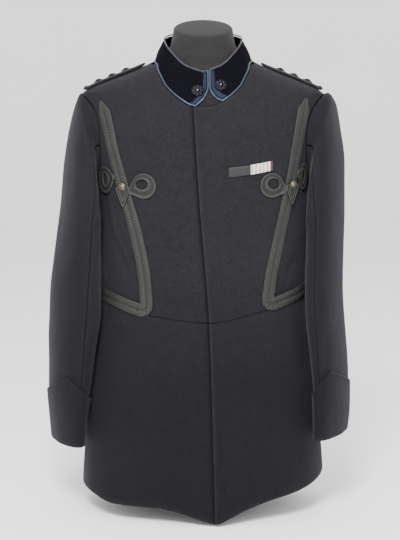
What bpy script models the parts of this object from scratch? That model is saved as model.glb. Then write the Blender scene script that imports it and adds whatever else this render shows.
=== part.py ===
# Military tunic on a dress form: an officer's frock with velvet stand collar and mohair braid.
# Metres, +Z up. The front faces -Y, and the wearer's left is at +X.
# The origin is the centre of the underside of the round base plate.
import math

import bmesh
import bpy
import numpy as np

# Driving dimensions
TORSO_Y = -0.022
CLOTH = 0.0022
SEAM_GAP = 0.0004
LAP_WIDTH = 0.028
LAP_MARGIN = 0.006
LAP_FADE = 0.020
LAP_LIFT = CLOTH + 0.0010
LAY_GAP = 0.0003
BRAID_GAP = 0.0008
WAIST_BRAID_GAP = 0.0011
MEETING_GAP = 0.0004

# Body of the tunic: one row for each height, depths measured from the torso's axis
BODY_COLUMNS = ("z", "half_width", "front", "back", "squareness")
BODY = (
    (-0.020, 0.2215, 0.158, 0.138, 2.25),
    (0.050, 0.2190, 0.153, 0.134, 2.25),
    (0.112, 0.2145, 0.147, 0.128, 2.25),
    (0.192, 0.2090, 0.139, 0.119, 2.25),
    (0.280, 0.1985, 0.129, 0.108, 2.30),
    (0.340, 0.1890, 0.120, 0.098, 2.30),
    (0.380, 0.1845, 0.117, 0.094, 2.30),
    (0.430, 0.1845, 0.118, 0.095, 2.35),
    (0.500, 0.1875, 0.122, 0.101, 2.40),
    (0.565, 0.1900, 0.125, 0.108, 2.40),
    (0.620, 0.1950, 0.124, 0.112, 2.40),
    (0.665, 0.2010, 0.115, 0.111, 2.40),
    (0.700, 0.2060, 0.101, 0.107, 2.40),
    (0.720, 0.2090, 0.091, 0.101, 2.40),
    (0.741, 0.2120, 0.080, 0.093, 2.40),
    (0.748, 0.2040, 0.076, 0.090, 2.40),
    (0.755, 0.1895, 0.072, 0.087, 2.40),
    (0.764, 0.1680, 0.066, 0.084, 2.40),
    (0.775, 0.1400, 0.060, 0.081, 2.35),
    (0.786, 0.1120, 0.054, 0.079, 2.25),
    (0.797, 0.0885, 0.048, 0.077, 2.15),
    (0.808, 0.0730, 0.044, 0.076, 2.10),
    (0.820, 0.0630, 0.040, 0.075, 2.05),
)

# Lines on the body, by angle round the torso's axis (0 is the front, 90 the wearer's left)
LINE_COLUMNS = ("angle", "z")
WAIST_SEAM = (
    (-180, 0.394), (-90, 0.392), (-60, 0.378), (-38, 0.360), (5, 0.350), (44, 0.367),
    (65, 0.381), (90, 0.394), (180, 0.394),
)
HEM = (
    (-180, 0.052), (-90, 0.046), (-73, 0.042), (-53, 0.030), (-30, 0.031), (-13, 0.022),
    (0, 0.010), (8, 0.005), (20, 0.019), (28, 0.029), (40, 0.040), (60, 0.052), (78, 0.064),
    (90, 0.070), (130, 0.058), (180, 0.052),
)
NECKLINE = (
    (0, 0.717), (12, 0.720), (25, 0.731), (42, 0.752), (55, 0.7735), (70, 0.790), (90, 0.797),
    (120, 0.807), (150, 0.811), (180, 0.812),
)
# Edge of the lapping front, from the hem to the neck
FRONT_EDGE_COLUMNS = ("z", "x")
FRONT_EDGE = ((-0.020, 0.0210), (0.219, 0.0150), (0.352, 0.0100), (0.563, -0.0070), (0.740, -0.0180))

ARMHOLE_Z = 0.6525
ARMHOLE_HALF_HEIGHT = 0.0895
ARMHOLE_HALF_ANGLE = 20.0
ARMHOLE_GAP = 0.0006
ARMHOLE_STEP = 0.0013

# Largest folds: a straight trough from one end to the other, or a ridge where depth is negative
FOLD_COLUMNS = ("face", "x0", "z0", "x1", "z1", "width", "depth")
FOLDS = (
    ("front", -0.171, 0.575, -0.158, 0.495, 0.010, 0.0060),
    ("front", -0.158, 0.500, -0.124, 0.425, 0.010, 0.0070),
    ("front", -0.176, 0.500, -0.150, 0.425, 0.013, -0.0035),
    ("front", 0.168, 0.480, 0.142, 0.415, 0.009, 0.0055),
    ("front", 0.150, 0.400, 0.125, 0.402, 0.013, 0.0045),
    ("front", -0.150, 0.345, -0.130, 0.290, 0.015, 0.0035),
    ("front", 0.160, 0.350, 0.163, 0.270, 0.013, 0.0040),
    ("back", -0.150, 0.470, -0.120, 0.420, 0.013, 0.0050),
    ("back", 0.150, 0.470, 0.120, 0.420, 0.013, 0.0050),
    ("back", -0.070, 0.330, -0.085, 0.120, 0.024, 0.0080),
    ("back", 0.070, 0.330, 0.085, 0.120, 0.024, 0.0080),
)

# Sleeves: one row for each ring, x measured outwards from the torso's middle
SLEEVE_COLUMNS = ("outer_x", "outer_z", "inner_x", "inner_z", "mid_y", "half_depth", "turn")
RIGHT_SLEEVE = (
    (0.2130, 0.742, 0.1915, 0.563, 0.000, 0.062, 0.000),
    (0.2205, 0.738, 0.1936, 0.556, -0.010, 0.064, 0.013),
    (0.2240, 0.718, 0.1935, 0.545, -0.016, 0.067, 0.021),
    (0.2302, 0.677, 0.1932, 0.528, -0.024, 0.070, 0.026),
    (0.2376, 0.624, 0.1900, 0.505, -0.030, 0.071, 0.028),
    (0.2463, 0.553, 0.1868, 0.470, -0.029, 0.070, 0.025),
    (0.2558, 0.481, 0.1860, 0.425, -0.030, 0.069, 0.026),
    (0.2673, 0.392, 0.1862, 0.361, -0.032, 0.066, 0.026),
    (0.2708, 0.305, 0.1965, 0.290, -0.034, 0.064, 0.026),
    (0.2703, 0.221, 0.2085, 0.217, -0.036, 0.061, 0.025),
    (0.2668, 0.168, 0.2175, 0.166, -0.037, 0.059, 0.024),
    (0.2633, 0.125, 0.2215, 0.125, -0.038, 0.058, 0.023),
)
LEFT_SLEEVE = (
    (0.2130, 0.742, 0.1915, 0.563, 0.000, 0.062, 0.000),
    (0.2260, 0.746, 0.1936, 0.556, -0.010, 0.064, 0.013),
    (0.2300, 0.731, 0.1935, 0.545, -0.016, 0.067, 0.021),
    (0.2342, 0.694, 0.1932, 0.528, -0.023, 0.070, 0.026),
    (0.2421, 0.638, 0.1900, 0.505, -0.027, 0.071, 0.027),
    (0.2463, 0.560, 0.1866, 0.470, -0.026, 0.071, 0.023),
    (0.2458, 0.480, 0.1856, 0.425, -0.027, 0.071, 0.023),
    (0.2443, 0.394, 0.1872, 0.363, -0.030, 0.069, 0.023),
    (0.2483, 0.317, 0.1950, 0.294, -0.036, 0.066, 0.024),
    (0.2518, 0.240, 0.2035, 0.224, -0.045, 0.063, 0.025),
    (0.2508, 0.183, 0.2070, 0.183, -0.053, 0.061, 0.026),
    (0.2463, 0.143, 0.2080, 0.143, -0.059, 0.060, 0.026),
)
SLEEVE_ROWS = 16
CUFF_GAP = 0.0011
CUFF_TOP_ROW = 9.15
CUFF_POINT_ROWS = 0.52
CUFF_POINT_ANGLE = 55.0
CUFF_POINT_SPREAD = 80.0

# Collar: one row for each angle, the top edge leaning in over the base
COLLAR_RISE = 0.0040
COLLAR_STEP = 0.0008
COLLAR_WALL = 0.0028
COLLAR_BACK_GAP = 0.30
COLLAR_ACROSS = np.array((0, 0.035, 0.09, 0.17, 0.26, 0.35, 0.44, 0.53, 0.62, 0.71, 0.80, 0.90, 1.0))
COLLAR_SHARES = np.array((0, 0.12, 0.26, 0.42, 0.60, 0.80, 1.0))
COLLAR_FRONT_HEIGHT = 0.058
COLLAR_TOP_COLUMNS = ("angle", "z")
COLLAR_TOP = ((0, 0.777), (30, 0.789), (60, 0.814), (90, 0.834), (135, 0.845), (180, 0.848))
COLLAR_TOP_HALF_WIDTH = 0.0690
COLLAR_TOP_FRONT = 0.0625
COLLAR_TOP_BACK = 0.0600
COLLAR_MEETING_X = 0.0100
COLLAR_CORNER = 0.0190
COLLAR_CORNER_HEIGHT = 0.034
PIPING_RADIUS = 0.0013
PIPING_GAP = 0.0007

# Braid: the path's middle by x and height on the front, x measured outwards
BRAID_HALF_WIDTH = 0.0108
BRAID_HEIGHT = 0.0024
BRAID_COLUMNS = ("x", "z")
RIGHT_CHEST_BRAID = (
    (0.1755, 0.729), (0.1650, 0.690), (0.1545, 0.646), (0.1370, 0.583), (0.1125, 0.493),
    (0.1010, 0.430), (0.0975, 0.385),
)
LEFT_CHEST_BRAID = (
    (0.1775, 0.733), (0.1690, 0.690), (0.1600, 0.646), (0.1500, 0.590), (0.1300, 0.493),
    (0.1170, 0.430), (0.1120, 0.396),
)
WAIST_BRAID_COLUMNS = ("angle", "z")
RIGHT_WAIST_BRAID = ((41.5, 0.3665), (52, 0.374), (65, 0.385), (80, 0.394), (96, 0.397), (125, 0.397))
LEFT_WAIST_BRAID = ((45.5, 0.3755), (56, 0.384), (68, 0.394), (80, 0.401), (96, 0.402), (125, 0.397))

# Trefoils, seen from the front: a loop on each side of the braid and a tab below the button
LOOP_HEIGHT = 0.0028
LOOP_COLUMNS = ("name", "side", "x", "z", "half_across", "half_up", "band")
LOOPS = (
    ("inner_loop_right", -1, 0.1005, 0.5855, 0.0220, 0.0220, 0.0110),
    ("outer_loop_right", -1, 0.1680, 0.5940, 0.0190, 0.0230, 0.0105),
    ("inner_loop_left", 1, 0.1165, 0.5865, 0.0215, 0.0215, 0.0110),
    ("outer_loop_left", 1, 0.1712, 0.6000, 0.0125, 0.0230, 0.0085),
)
TAB_COLUMNS = ("x", "z")
RIGHT_TAB = (0.1350, 0.566)
LEFT_TAB = (0.1500, 0.570)
TAB_HALF_WIDTH = 0.0120
TAB_HALF_HEIGHT = 0.0170
TAB_HEIGHT = 0.0022
TAB_GAP = 0.0006
BUTTON_RADIUS = 0.0064
BUTTON_HEIGHT = 0.0048
BUTTON_RISE = 0.018

# Ribbons on the wearer's left chest
RIBBON_HEIGHT = 0.0165
RIBBON_DEPTH = 0.0018
RIBBON_COLUMNS = ("name", "x0", "z0", "x1", "z1")
RIBBONS = (
    ("ribbon_dark", 0.0430, 0.6090, 0.0795, 0.6130),
    ("ribbon_striped", 0.0802, 0.6135, 0.1190, 0.6200),
)

# Shoulder straps and their plain raised pips
STRAP_THICKNESS = 0.0045
STRAP_LIFT = 0.0012
STRAP_HALF_WIDTH_OUT = 0.0240
STRAP_HALF_WIDTH_IN = 0.0195
STRAP_OUT_X = 0.2090
STRAP_IN_X = 0.1020
STRAP_REST_X = 0.2020
PIP_X = (0.1850, 0.1610, 0.1370)
PIP_RADIUS = 0.0085
PIP_HEIGHT = 0.0040

# Collar rosettes
ROSETTE_RADIUS = 0.0115
ROSETTE_HEIGHT = 0.0032
ROSETTE_DISTANCE = 0.0140
ROSETTE_RISE = 0.0270

# Dress form, pole and base plate
FORM_COLUMNS = ("z", "inset")
FORM_INSET = (
    (0.155, 0.052), (0.200, 0.042), (0.280, 0.026), (0.340, 0.019), (0.400, 0.017), (0.500, 0.017),
    (0.580, 0.013), (0.640, 0.008), (0.690, 0.0048), (0.800, 0.0048),
)
FORM_NECK_COLUMNS = ("z", "half_width", "front", "back")
FORM_NECK = (
    (0.806, 0.0705, 0.0470, 0.0690), (0.816, 0.0615, 0.0475, 0.0620), (0.826, 0.0570, 0.0485, 0.0565),
    (0.840, 0.0540, 0.0495, 0.0525), (0.853, 0.0520, 0.0500, 0.0500),
)
FORM_BOTTOM_Z = 0.155
NECK_TILT = 0.35
NECK_CAP_RISE = 0.004
FORM_SIDES = 28
POLE_RADIUS = 0.0125
BASE_RADIUS = 0.105
BASE_HEIGHT = 0.010


def curve_through(rows, knot, value):
    """A smooth curve through two columns of a table, which never overshoots its rows."""
    knots = np.array([row[knot] for row in rows], float)
    values = np.array([row[value] for row in rows], float)
    steps = np.diff(knots)
    rises = np.diff(values) / steps
    slopes = np.zeros(len(knots))
    before, after = rises[:-1], rises[1:]
    same_way = before * after > 0
    slopes[1:-1][same_way] = 2 * before[same_way] * after[same_way] / (before + after)[same_way]
    slopes[0], slopes[-1] = rises[0], rises[-1]

    def at(query):
        query = np.clip(query, knots[0], knots[-1])
        row = np.clip(np.searchsorted(knots, query, side="right") - 1, 0, len(steps) - 1)
        t = (query - knots[row]) / steps[row]
        start = values[row] * (1 + 2 * t) * (1 - t) ** 2 + values[row + 1] * t * t * (3 - 2 * t)
        lean = slopes[row] * t * (1 - t) ** 2 - slopes[row + 1] * t * t * (1 - t)
        return start + lean * steps[row]

    return at


half_width_at, front_at, back_at, squareness_at = (curve_through(BODY, 0, column) for column in range(1, 5))
waist_at = curve_through(WAIST_SEAM, 0, 1)
hem_at = curve_through(HEM, 0, 1)
neckline_at = curve_through(NECKLINE, 0, 1)
front_edge_at = curve_through(FRONT_EDGE, 0, 1)
collar_top_at = curve_through(COLLAR_TOP, 0, 1)


def smooth_step(value):
    value = np.clip(value, 0.0, 1.0)
    return value * value * (3 - 2 * value)


def plain_body(angle, z):
    """Point of the body's smooth outer surface at an angle in degrees and a height."""
    angle, z = np.broadcast_arrays(np.asarray(angle, float), np.asarray(z, float))
    sine, cosine = np.sin(np.radians(angle)), np.cos(np.radians(angle))
    depth = np.where(cosine > 0, front_at(z), back_at(z))
    power = squareness_at(z)
    reach = ((abs(sine) / half_width_at(z)) ** power + (abs(cosine) / depth) ** power) ** (-1 / power)
    return np.stack([reach * sine, TORSO_Y - reach * cosine, z], axis=-1)


def unit(vectors):
    return vectors / np.linalg.norm(vectors, axis=-1, keepdims=True)


def body_normal(angle, z):
    across = plain_body(angle + 0.2, z) - plain_body(angle - 0.2, z)
    upward = plain_body(angle, z + 0.0004) - plain_body(angle, z - 0.0004)
    return unit(np.cross(across, upward))


def fold_shift(points, angle):
    """How far the folds push the cloth outwards at the given points."""
    shift = np.zeros(points.shape[:-1])
    on_front = np.cos(np.radians(angle)) > 0
    for face, x0, z0, x1, z1, width, depth in FOLDS:
        along = np.array([x1 - x0, z1 - z0])
        offset = np.stack([points[..., 0] - x0, points[..., 2] - z0], axis=-1)
        place = np.clip(offset @ along / (along @ along), 0, 1)
        away = np.linalg.norm(offset - place[..., None] * along, axis=-1)
        taper = 0.35 + 0.65 * np.sin(np.pi * np.clip(place, 0.02, 0.98))
        here = on_front if face == "front" else ~on_front
        shift -= here * depth * taper * np.exp(-(away / width) ** 2)
    return shift


def cloth_point(angle, z, out=0.0, bridging=False):
    """Point of the tunic's body, its folds included, moved out along the surface's normal."""
    angle, z = np.broadcast_arrays(np.asarray(angle, float), np.asarray(z, float))
    points = plain_body(angle, z)
    shift = fold_shift(points, angle)
    if bridging:
        shift = np.maximum(shift, 0)
    return points + body_normal(angle, z) * (out + shift)[..., None]


def front_angle(x, z):
    """Angle of the front's point at a given x and height."""
    x, z = np.broadcast_arrays(np.asarray(x, float), np.asarray(z, float))
    power = squareness_at(z)
    depth = front_at(z) * np.maximum(1 - (abs(x) / half_width_at(z)) ** power, 1e-9) ** (1 / power)
    return np.degrees(np.arctan2(x, depth))


def lap_lift(points):
    """Rise of the lapping front over the layer below it."""
    beyond = points[..., 0] - front_edge_at(points[..., 2]) - LAP_WIDTH - LAP_MARGIN
    return LAP_LIFT * (1 - smooth_step(beyond / LAP_FADE))


def on_cloth(point, out=0.0, lapped=False):
    """The body's surface point nearest to a given point, by its angle and height."""
    point = np.asarray(point, float)
    angle = np.degrees(np.arctan2(point[..., 0], TORSO_Y - point[..., 1]))
    lift = lap_lift(point) if lapped else 0.0
    return cloth_point(angle, point[..., 2], out + lift, bridging=True)


def armhole(turn):
    """Angle and height of the right-hand armhole's line: 0 is its top, 90 its front, 180 its foot."""
    turn = np.radians(turn)
    return 90 - ARMHOLE_HALF_ANGLE * np.sin(turn), ARMHOLE_Z + ARMHOLE_HALF_HEIGHT * np.cos(turn)


def new_material(name, colour, roughness, metallic=0.0):
    material = bpy.data.materials.new(name)
    material.use_nodes = True
    shader = material.node_tree.nodes["Principled BSDF"]
    shader.inputs["Base Color"].default_value = (*colour, 1.0)
    shader.inputs["Roughness"].default_value = roughness
    shader.inputs["Metallic"].default_value = metallic
    return material


def add_object(name, mesh, material, smooth=True):
    mesh.materials.append(material)
    if smooth:
        mesh.shade_smooth()
        mesh.set_sharp_from_angle(angle=math.radians(50))
    item = bpy.data.objects.new(name, mesh)
    collection.objects.link(item)
    return item


def mesh_from(name, points, faces):
    """A mesh with its faces turned outwards and split into triangles."""
    shape = bmesh.new()
    corners = [shape.verts.new(point) for point in points]
    for face in faces:
        shape.faces.new([corners[index] for index in face])
    bmesh.ops.recalc_face_normals(shape, faces=shape.faces)
    if shape.calc_volume(signed=True) < 0:
        bmesh.ops.reverse_faces(shape, faces=shape.faces)
    bmesh.ops.triangulate(shape, faces=shape.faces)
    mesh = bpy.data.meshes.new(name)
    shape.to_mesh(mesh)
    shape.free()
    return mesh


def wall(name, outer, inner, material, closed=False):
    """One closed body between an outer and an inner grid of points, rows going up."""
    rows, columns = outer.shape[:2]
    points = np.concatenate([outer.reshape(-1, 3), inner.reshape(-1, 3)])
    half = rows * columns

    def at(row, column, side):
        return side * half + row * columns + column % columns

    faces = []
    spans = columns if closed else columns - 1
    for row in range(rows - 1):
        for column in range(spans):
            for side in (0, 1):
                faces.append((at(row, column, side), at(row, column + 1, side),
                              at(row + 1, column + 1, side), at(row + 1, column, side)))
    for row in (0, rows - 1):
        for column in range(spans):
            faces.append((at(row, column, 0), at(row, column + 1, 0),
                          at(row, column + 1, 1), at(row, column, 1)))
    if not closed:
        for column in (0, columns - 1):
            for row in range(rows - 1):
                faces.append((at(row, column, 0), at(row + 1, column, 0),
                              at(row + 1, column, 1), at(row, column, 1)))
    return add_object(name, mesh_from(name, points, faces), material)


def loft(name, rings, material, closed=False, smooth=True):
    """One closed body through rings of equal point count, its ends capped or joined."""
    rings = np.asarray(rings)
    count, sides = rings.shape[:2]
    faces = []
    for ring in range(count if closed else count - 1):
        following = (ring + 1) % count
        for side in range(sides):
            beside = (side + 1) % sides
            faces.append((ring * sides + side, ring * sides + beside,
                          following * sides + beside, following * sides + side))
    if not closed:
        faces.append(tuple(range(sides)))
        faces.append(tuple((count - 1) * sides + side for side in range(sides)))
    return add_object(name, mesh_from(name, rings.reshape(-1, 3), faces), material, smooth)


def spaced(start, *stretches):
    """Values from a start through each stretch's end, with that stretch's count of steps."""
    values = [np.array([float(start)])]
    for end, steps in stretches:
        values.append(np.linspace(values[-1][-1], end, steps + 1)[1:])
    return np.concatenate(values)


def front_columns(count):
    """Spacing of a front's columns, with a line at each side of the lap's rise."""
    return spaced(0, (0.185, 2), (0.29, 1), (1, count - 4))


def patch(left, right, bottom, top, columns, rows):
    """Angles and heights of a four-sided piece, filled in between its four edge lines."""
    u = columns[None, :, None]
    v = rows[:, None, None]
    sides = (1 - u) * left(rows)[:, None, :] + u * right(rows)[:, None, :]
    ends = (1 - v) * bottom(u[0, :, 0])[None] + v * top(u[0, :, 0])[None]
    corners = ((1 - u) * (1 - v) * left(rows[:1])[:, None] + u * (1 - v) * right(rows[:1])[:, None]
               + (1 - u) * v * left(rows[-1:])[:, None] + u * v * right(rows[-1:])[:, None])
    return sides + ends - corners


def ridge_height(x):
    """Height of the shoulder's ridge at a distance from the torso's middle."""
    heights = np.linspace(0.741, 0.820, 160)
    return np.interp(-np.asarray(x), -half_width_at(heights), heights)


def edge_x(side, z):
    """x of a front's own edge: the lapping front's, or that of the layer under it."""
    return front_edge_at(z) if side > 0 else front_edge_at(z) + LAP_WIDTH


def body_wall(name, grid, side, material, lapped):
    """The wall of a body piece from its angles and heights."""
    if side < 0:
        grid = grid[:, ::-1]
    angle, z = grid[..., 0], grid[..., 1]
    lift = lap_lift(plain_body(angle, z)) if lapped else 0.0
    return wall(name, cloth_point(angle, z, lift), cloth_point(angle, z, lift - CLOTH), material)


def seam_angle(z):
    """Half of a seam's gap as an angle."""
    return np.degrees(SEAM_GAP / 2 / half_width_at(z))


def make_front(name, side, material):
    """A front from its edge and neckline round to the side seam and armhole."""
    edge_share, seam_share = 0.68, 0.42
    neck_start = float(front_angle(edge_x(side, 0.717), 0.717)) * side

    def left(v):
        on_edge = np.clip(v / edge_share, 0, 1)
        foot = waist_at(float(front_angle(edge_x(side, 0.35), 0.35)))
        z_edge = foot + SEAM_GAP / 2 + on_edge * (neckline_at(abs(neck_start)) - foot - SEAM_GAP / 2)
        on_neck = np.clip((v - edge_share) / (1 - edge_share), 0, 1)
        neck_angle = neck_start + on_neck * (90 - neck_start)
        angle = np.where(v < edge_share, front_angle(edge_x(side, z_edge), z_edge) * side, neck_angle)
        z = np.where(v < edge_share, z_edge, neckline_at(abs(neck_angle)))
        return np.stack([angle - (v >= edge_share) * on_neck * seam_angle(z), z], axis=-1)

    def right(v):
        on_seam = np.clip(v / seam_share, 0, 1)
        turn = 180 * (1 - np.clip((v - seam_share) / (1 - seam_share), 0, 1))
        hole_angle, hole_z = armhole(turn)
        foot = waist_at(90.0 * side) + SEAM_GAP / 2
        z = np.where(v < seam_share, foot + on_seam * (ARMHOLE_Z - ARMHOLE_HALF_HEIGHT - foot), hole_z)
        angle = np.where(v < seam_share, 90.0, hole_angle)
        return np.stack([angle - seam_angle(z), z], axis=-1)

    def bottom(u):
        start, stop = left(np.zeros(1))[0, 0], right(np.zeros(1))[0, 0]
        angle = start + u * (stop - start)
        return np.stack([angle, waist_at(angle * side) + SEAM_GAP / 2], axis=-1)

    def top(u):
        reach = 0.0885 + u * (0.212 - 0.0885)
        z = ridge_height(reach)
        z[0], z[-1] = left(np.ones(1))[0, 1], right(np.ones(1))[0, 1]
        return np.stack([90 - seam_angle(z), z], axis=-1)

    rows = spaced(0, (seam_share, 6), (edge_share, 5), (0.86, 5), (1, 4))
    grid = patch(left, right, bottom, top, front_columns(13), rows)
    grid[..., 0] *= side
    return body_wall(name, grid, side, material, side > 0)


def make_back(name, side, material):
    """A back from the side seam and armhole round to the centre back seam."""
    seam_share, edge_share = 0.42, 0.86

    def left(v):
        on_seam = np.clip(v / seam_share, 0, 1)
        turn = 180 + 180 * np.clip((v - seam_share) / (1 - seam_share), 0, 1)
        hole_angle, hole_z = armhole(turn)
        foot = waist_at(90.0 * side) + SEAM_GAP / 2
        z = np.where(v < seam_share, foot + on_seam * (ARMHOLE_Z - ARMHOLE_HALF_HEIGHT - foot), hole_z)
        angle = np.where(v < seam_share, 90.0, hole_angle)
        return np.stack([angle + seam_angle(z), z], axis=-1)

    def right(v):
        on_edge = np.clip(v / edge_share, 0, 1)
        foot = waist_at(180.0 * side) + SEAM_GAP / 2
        z_edge = foot + on_edge * (neckline_at(180.0) - foot)
        on_neck = np.clip((v - edge_share) / (1 - edge_share), 0, 1)
        neck_angle = 180 - 90 * on_neck
        z = np.where(v < edge_share, z_edge, neckline_at(neck_angle))
        angle = np.where(v < edge_share, 180.0, neck_angle)
        return np.stack([angle - (1 - 2 * on_neck) * seam_angle(z), z], axis=-1)

    def bottom(u):
        angle = 90 + seam_angle(0.39) + u * (90 - 2 * seam_angle(0.39))
        return np.stack([angle, waist_at(angle * side) + SEAM_GAP / 2], axis=-1)

    def top(u):
        reach = 0.212 - u * (0.212 - 0.0885)
        z = ridge_height(reach)
        z[0], z[-1] = left(np.ones(1))[0, 1], right(np.ones(1))[0, 1]
        return np.stack([90 + seam_angle(z), z], axis=-1)

    rows = spaced(0, (seam_share, 5), (edge_share, 8), (1, 4))
    grid = patch(left, right, bottom, top, np.linspace(0, 1, 11), rows)
    grid[..., 0] *= side
    return body_wall(name, grid, side, material, False)


def make_skirt(name, side, face, material):
    """A skirt piece between the waist seam and the hem."""
    rows = np.linspace(0, 1, 8)[:, None]
    u = front_columns(13)[None, :] if face == "front" else np.linspace(0, 1, 11)[None, :]
    if face == "front":
        start_z = hem_at(8.0) + rows * (waist_at(5.0) - hem_at(8.0))
        start = front_angle(edge_x(side, start_z), start_z) * side
        stop = 90 - seam_angle(0.2)
    else:
        start = np.full_like(rows, 90 + seam_angle(0.2))
        stop = 180 - seam_angle(0.2)
    angle = start + u * (stop - start)
    hem = hem_at(angle * side)
    z = hem + rows * (waist_at(angle * side) - SEAM_GAP / 2 - hem)
    grid = np.stack([angle * side, z], axis=-1)
    return body_wall(name, grid, side, material, face == "front" and side > 0)


def sleeve_ring(side, turn, row):
    """Point of a sleeve's outer surface: turn 0 is its outer side, 90 its front, 180 by the body."""
    table = LEFT_SLEEVE if side > 0 else RIGHT_SLEEVE
    numbered = [(number, *values) for number, values in enumerate(table)]
    turn, row = np.broadcast_arrays(np.asarray(turn, float), np.asarray(row, float))
    outer_x, outer_z, inner_x, inner_z, mid_y, half_depth, lean = (
        curve_through(numbered, 0, column)(row) for column in range(1, 8))
    cosine, sine = np.cos(np.radians(turn)), np.sin(np.radians(turn))
    x = (outer_x + inner_x) / 2 + (outer_x - inner_x) / 2 * cosine - lean * sine
    y = TORSO_Y + mid_y - half_depth * sine
    z = (outer_z + inner_z) / 2 + (outer_z - inner_z) / 2 * cosine
    return np.stack([x * side, y, z], axis=-1)


def sleeve_point(side, turn, row):
    """A sleeve's outer surface, its first ring set on the armhole's line."""
    turn, row = np.broadcast_arrays(np.asarray(turn, float), np.asarray(row, float))
    hole_angle, hole_z = armhole(turn)
    inward = 1 - ARMHOLE_GAP / ARMHOLE_HALF_HEIGHT
    hole_angle = (90 + (hole_angle - 90) * inward) * side
    hole_z = ARMHOLE_Z + (hole_z - ARMHOLE_Z) * inward
    seated = cloth_point(hole_angle, hole_z, ARMHOLE_STEP)
    share = smooth_step(row / 2.2)[..., None]
    return seated * (1 - share) + sleeve_ring(side, turn, row) * share


def sleeve_normal(side, turn, row):
    around = sleeve_point(side, turn + 1, row) - sleeve_point(side, turn - 1, row)
    along = sleeve_point(side, turn, row + 0.03) - sleeve_point(side, turn, row - 0.03)
    return unit(np.cross(around, along)) * side


def sleeve_wall(name, side, turns, rows, out, material, closed=False):
    """A wall on the sleeve's surface, over a grid of turns and rows."""
    surface, normal = sleeve_point(side, turns, rows), sleeve_normal(side, turns, rows)
    outer, inner = surface + normal * out, surface + normal * (out - CLOTH)
    return wall(name, outer, inner, material, closed)


def make_sleeve(name, side, start, stop, material):
    """A half sleeve between its front and back seams."""
    rows = 11 * np.linspace(0, 1, SLEEVE_ROWS)[:, None] ** 1.12
    gap = 0.52
    turns = np.linspace(start + gap, stop - gap, 10)[None, :]
    return sleeve_wall(name, side, *np.broadcast_arrays(turns, rows), 0.0, material)


def make_cuff(name, side, material):
    """A pointed cuff that lies on the sleeve."""
    turns = np.linspace(-90, 270, 18, endpoint=False)[None, :]
    from_point = np.abs((turns - CUFF_POINT_ANGLE + 180) % 360 - 180)
    top = CUFF_TOP_ROW - CUFF_POINT_ROWS * np.clip(1 - from_point / CUFF_POINT_SPREAD, 0, 1)
    rows = top + np.linspace(0, 1, 4)[:, None] * (11 - top)
    turns, rows = np.broadcast_arrays(turns, rows)
    return sleeve_wall(name, side, turns, rows, CUFF_GAP + CLOTH, material, closed=True)


def collar_base(angle):
    return cloth_point(angle, neckline_at(abs(angle)) + COLLAR_RISE, COLLAR_STEP)


def collar_point(angle, rise):
    """Point of the collar's outer surface at an angle and a distance up from its lower edge."""
    angle, rise = np.broadcast_arrays(np.asarray(angle, float), np.asarray(rise, float))
    sine, cosine = np.sin(np.radians(angle)), np.cos(np.radians(angle))
    depth = np.where(cosine > 0, COLLAR_TOP_FRONT, COLLAR_TOP_BACK)
    reach = ((abs(sine) / COLLAR_TOP_HALF_WIDTH) ** 2 + (abs(cosine) / depth) ** 2) ** -0.5
    top = np.stack([reach * sine, TORSO_Y - reach * cosine, collar_top_at(abs(angle))], axis=-1)
    base = collar_base(angle)
    height = np.linalg.norm(top - base, axis=-1)
    share = rise / height
    bulge = 0.0022 * np.sin(np.pi * np.clip(share, 0, 1))
    outward = np.stack([sine, -cosine, np.zeros_like(sine)], axis=-1)
    return base + (top - base) * share[..., None] + outward * bulge[..., None]


def collar_share_point(angle, share, extra=0.0):
    """Point at a share of the collar's height, and a distance further up."""
    top = collar_full_height(angle)
    return collar_point(angle, share * top + extra)


def collar_full_height(angle):
    """Length of the collar's line from its lower edge to its top edge."""
    angle = np.asarray(angle, float)
    sine, cosine = np.sin(np.radians(angle)), np.cos(np.radians(angle))
    depth = np.where(cosine > 0, COLLAR_TOP_FRONT, COLLAR_TOP_BACK)
    reach = ((abs(sine) / COLLAR_TOP_HALF_WIDTH) ** 2 + (abs(cosine) / depth) ** 2) ** -0.5
    top = np.stack([reach * sine, TORSO_Y - reach * cosine, collar_top_at(abs(angle))], axis=-1)
    return np.linalg.norm(top - collar_base(angle), axis=-1)


def collar_front_angle(side, rise, inset):
    """Angle of a line square to the collar's front edge, which rounds away from the meeting line."""
    low = np.clip(1 - rise / COLLAR_CORNER_HEIGHT, 0, 1)
    slope = 1.7 * COLLAR_CORNER / COLLAR_CORNER_HEIGHT * low ** 0.7
    x = COLLAR_MEETING_X + side * (inset * np.sqrt(1 + slope ** 2) + COLLAR_CORNER * low ** 1.7)
    reach = TORSO_Y - collar_point(np.degrees(x / 0.075), rise)[..., 1]
    return np.degrees(np.arctan2(x, reach))


def make_collar(name, side, material):
    """Half of the stand collar, from its front edge to the centre back."""
    inset = MEETING_GAP + 2 * PIPING_RADIUS + PIPING_GAP
    share = COLLAR_SHARES[:, None]
    start = collar_front_angle(side, share * COLLAR_FRONT_HEIGHT, inset)
    stop = side * (180 - COLLAR_BACK_GAP)
    angle = start + COLLAR_ACROSS[None, :] * (stop - start)
    share = np.broadcast_to(share, angle.shape)
    if side < 0:
        angle, share = angle[:, ::-1], share[:, ::-1]
    outer = collar_share_point(angle, share)
    around = collar_share_point(angle + 0.5, share) - collar_share_point(angle - 0.5, share)
    upward = collar_share_point(angle, share + 0.02) - collar_share_point(angle, share - 0.02)
    normal = unit(np.cross(around, upward))
    return wall(name, outer, outer - normal * COLLAR_WALL, material)


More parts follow.
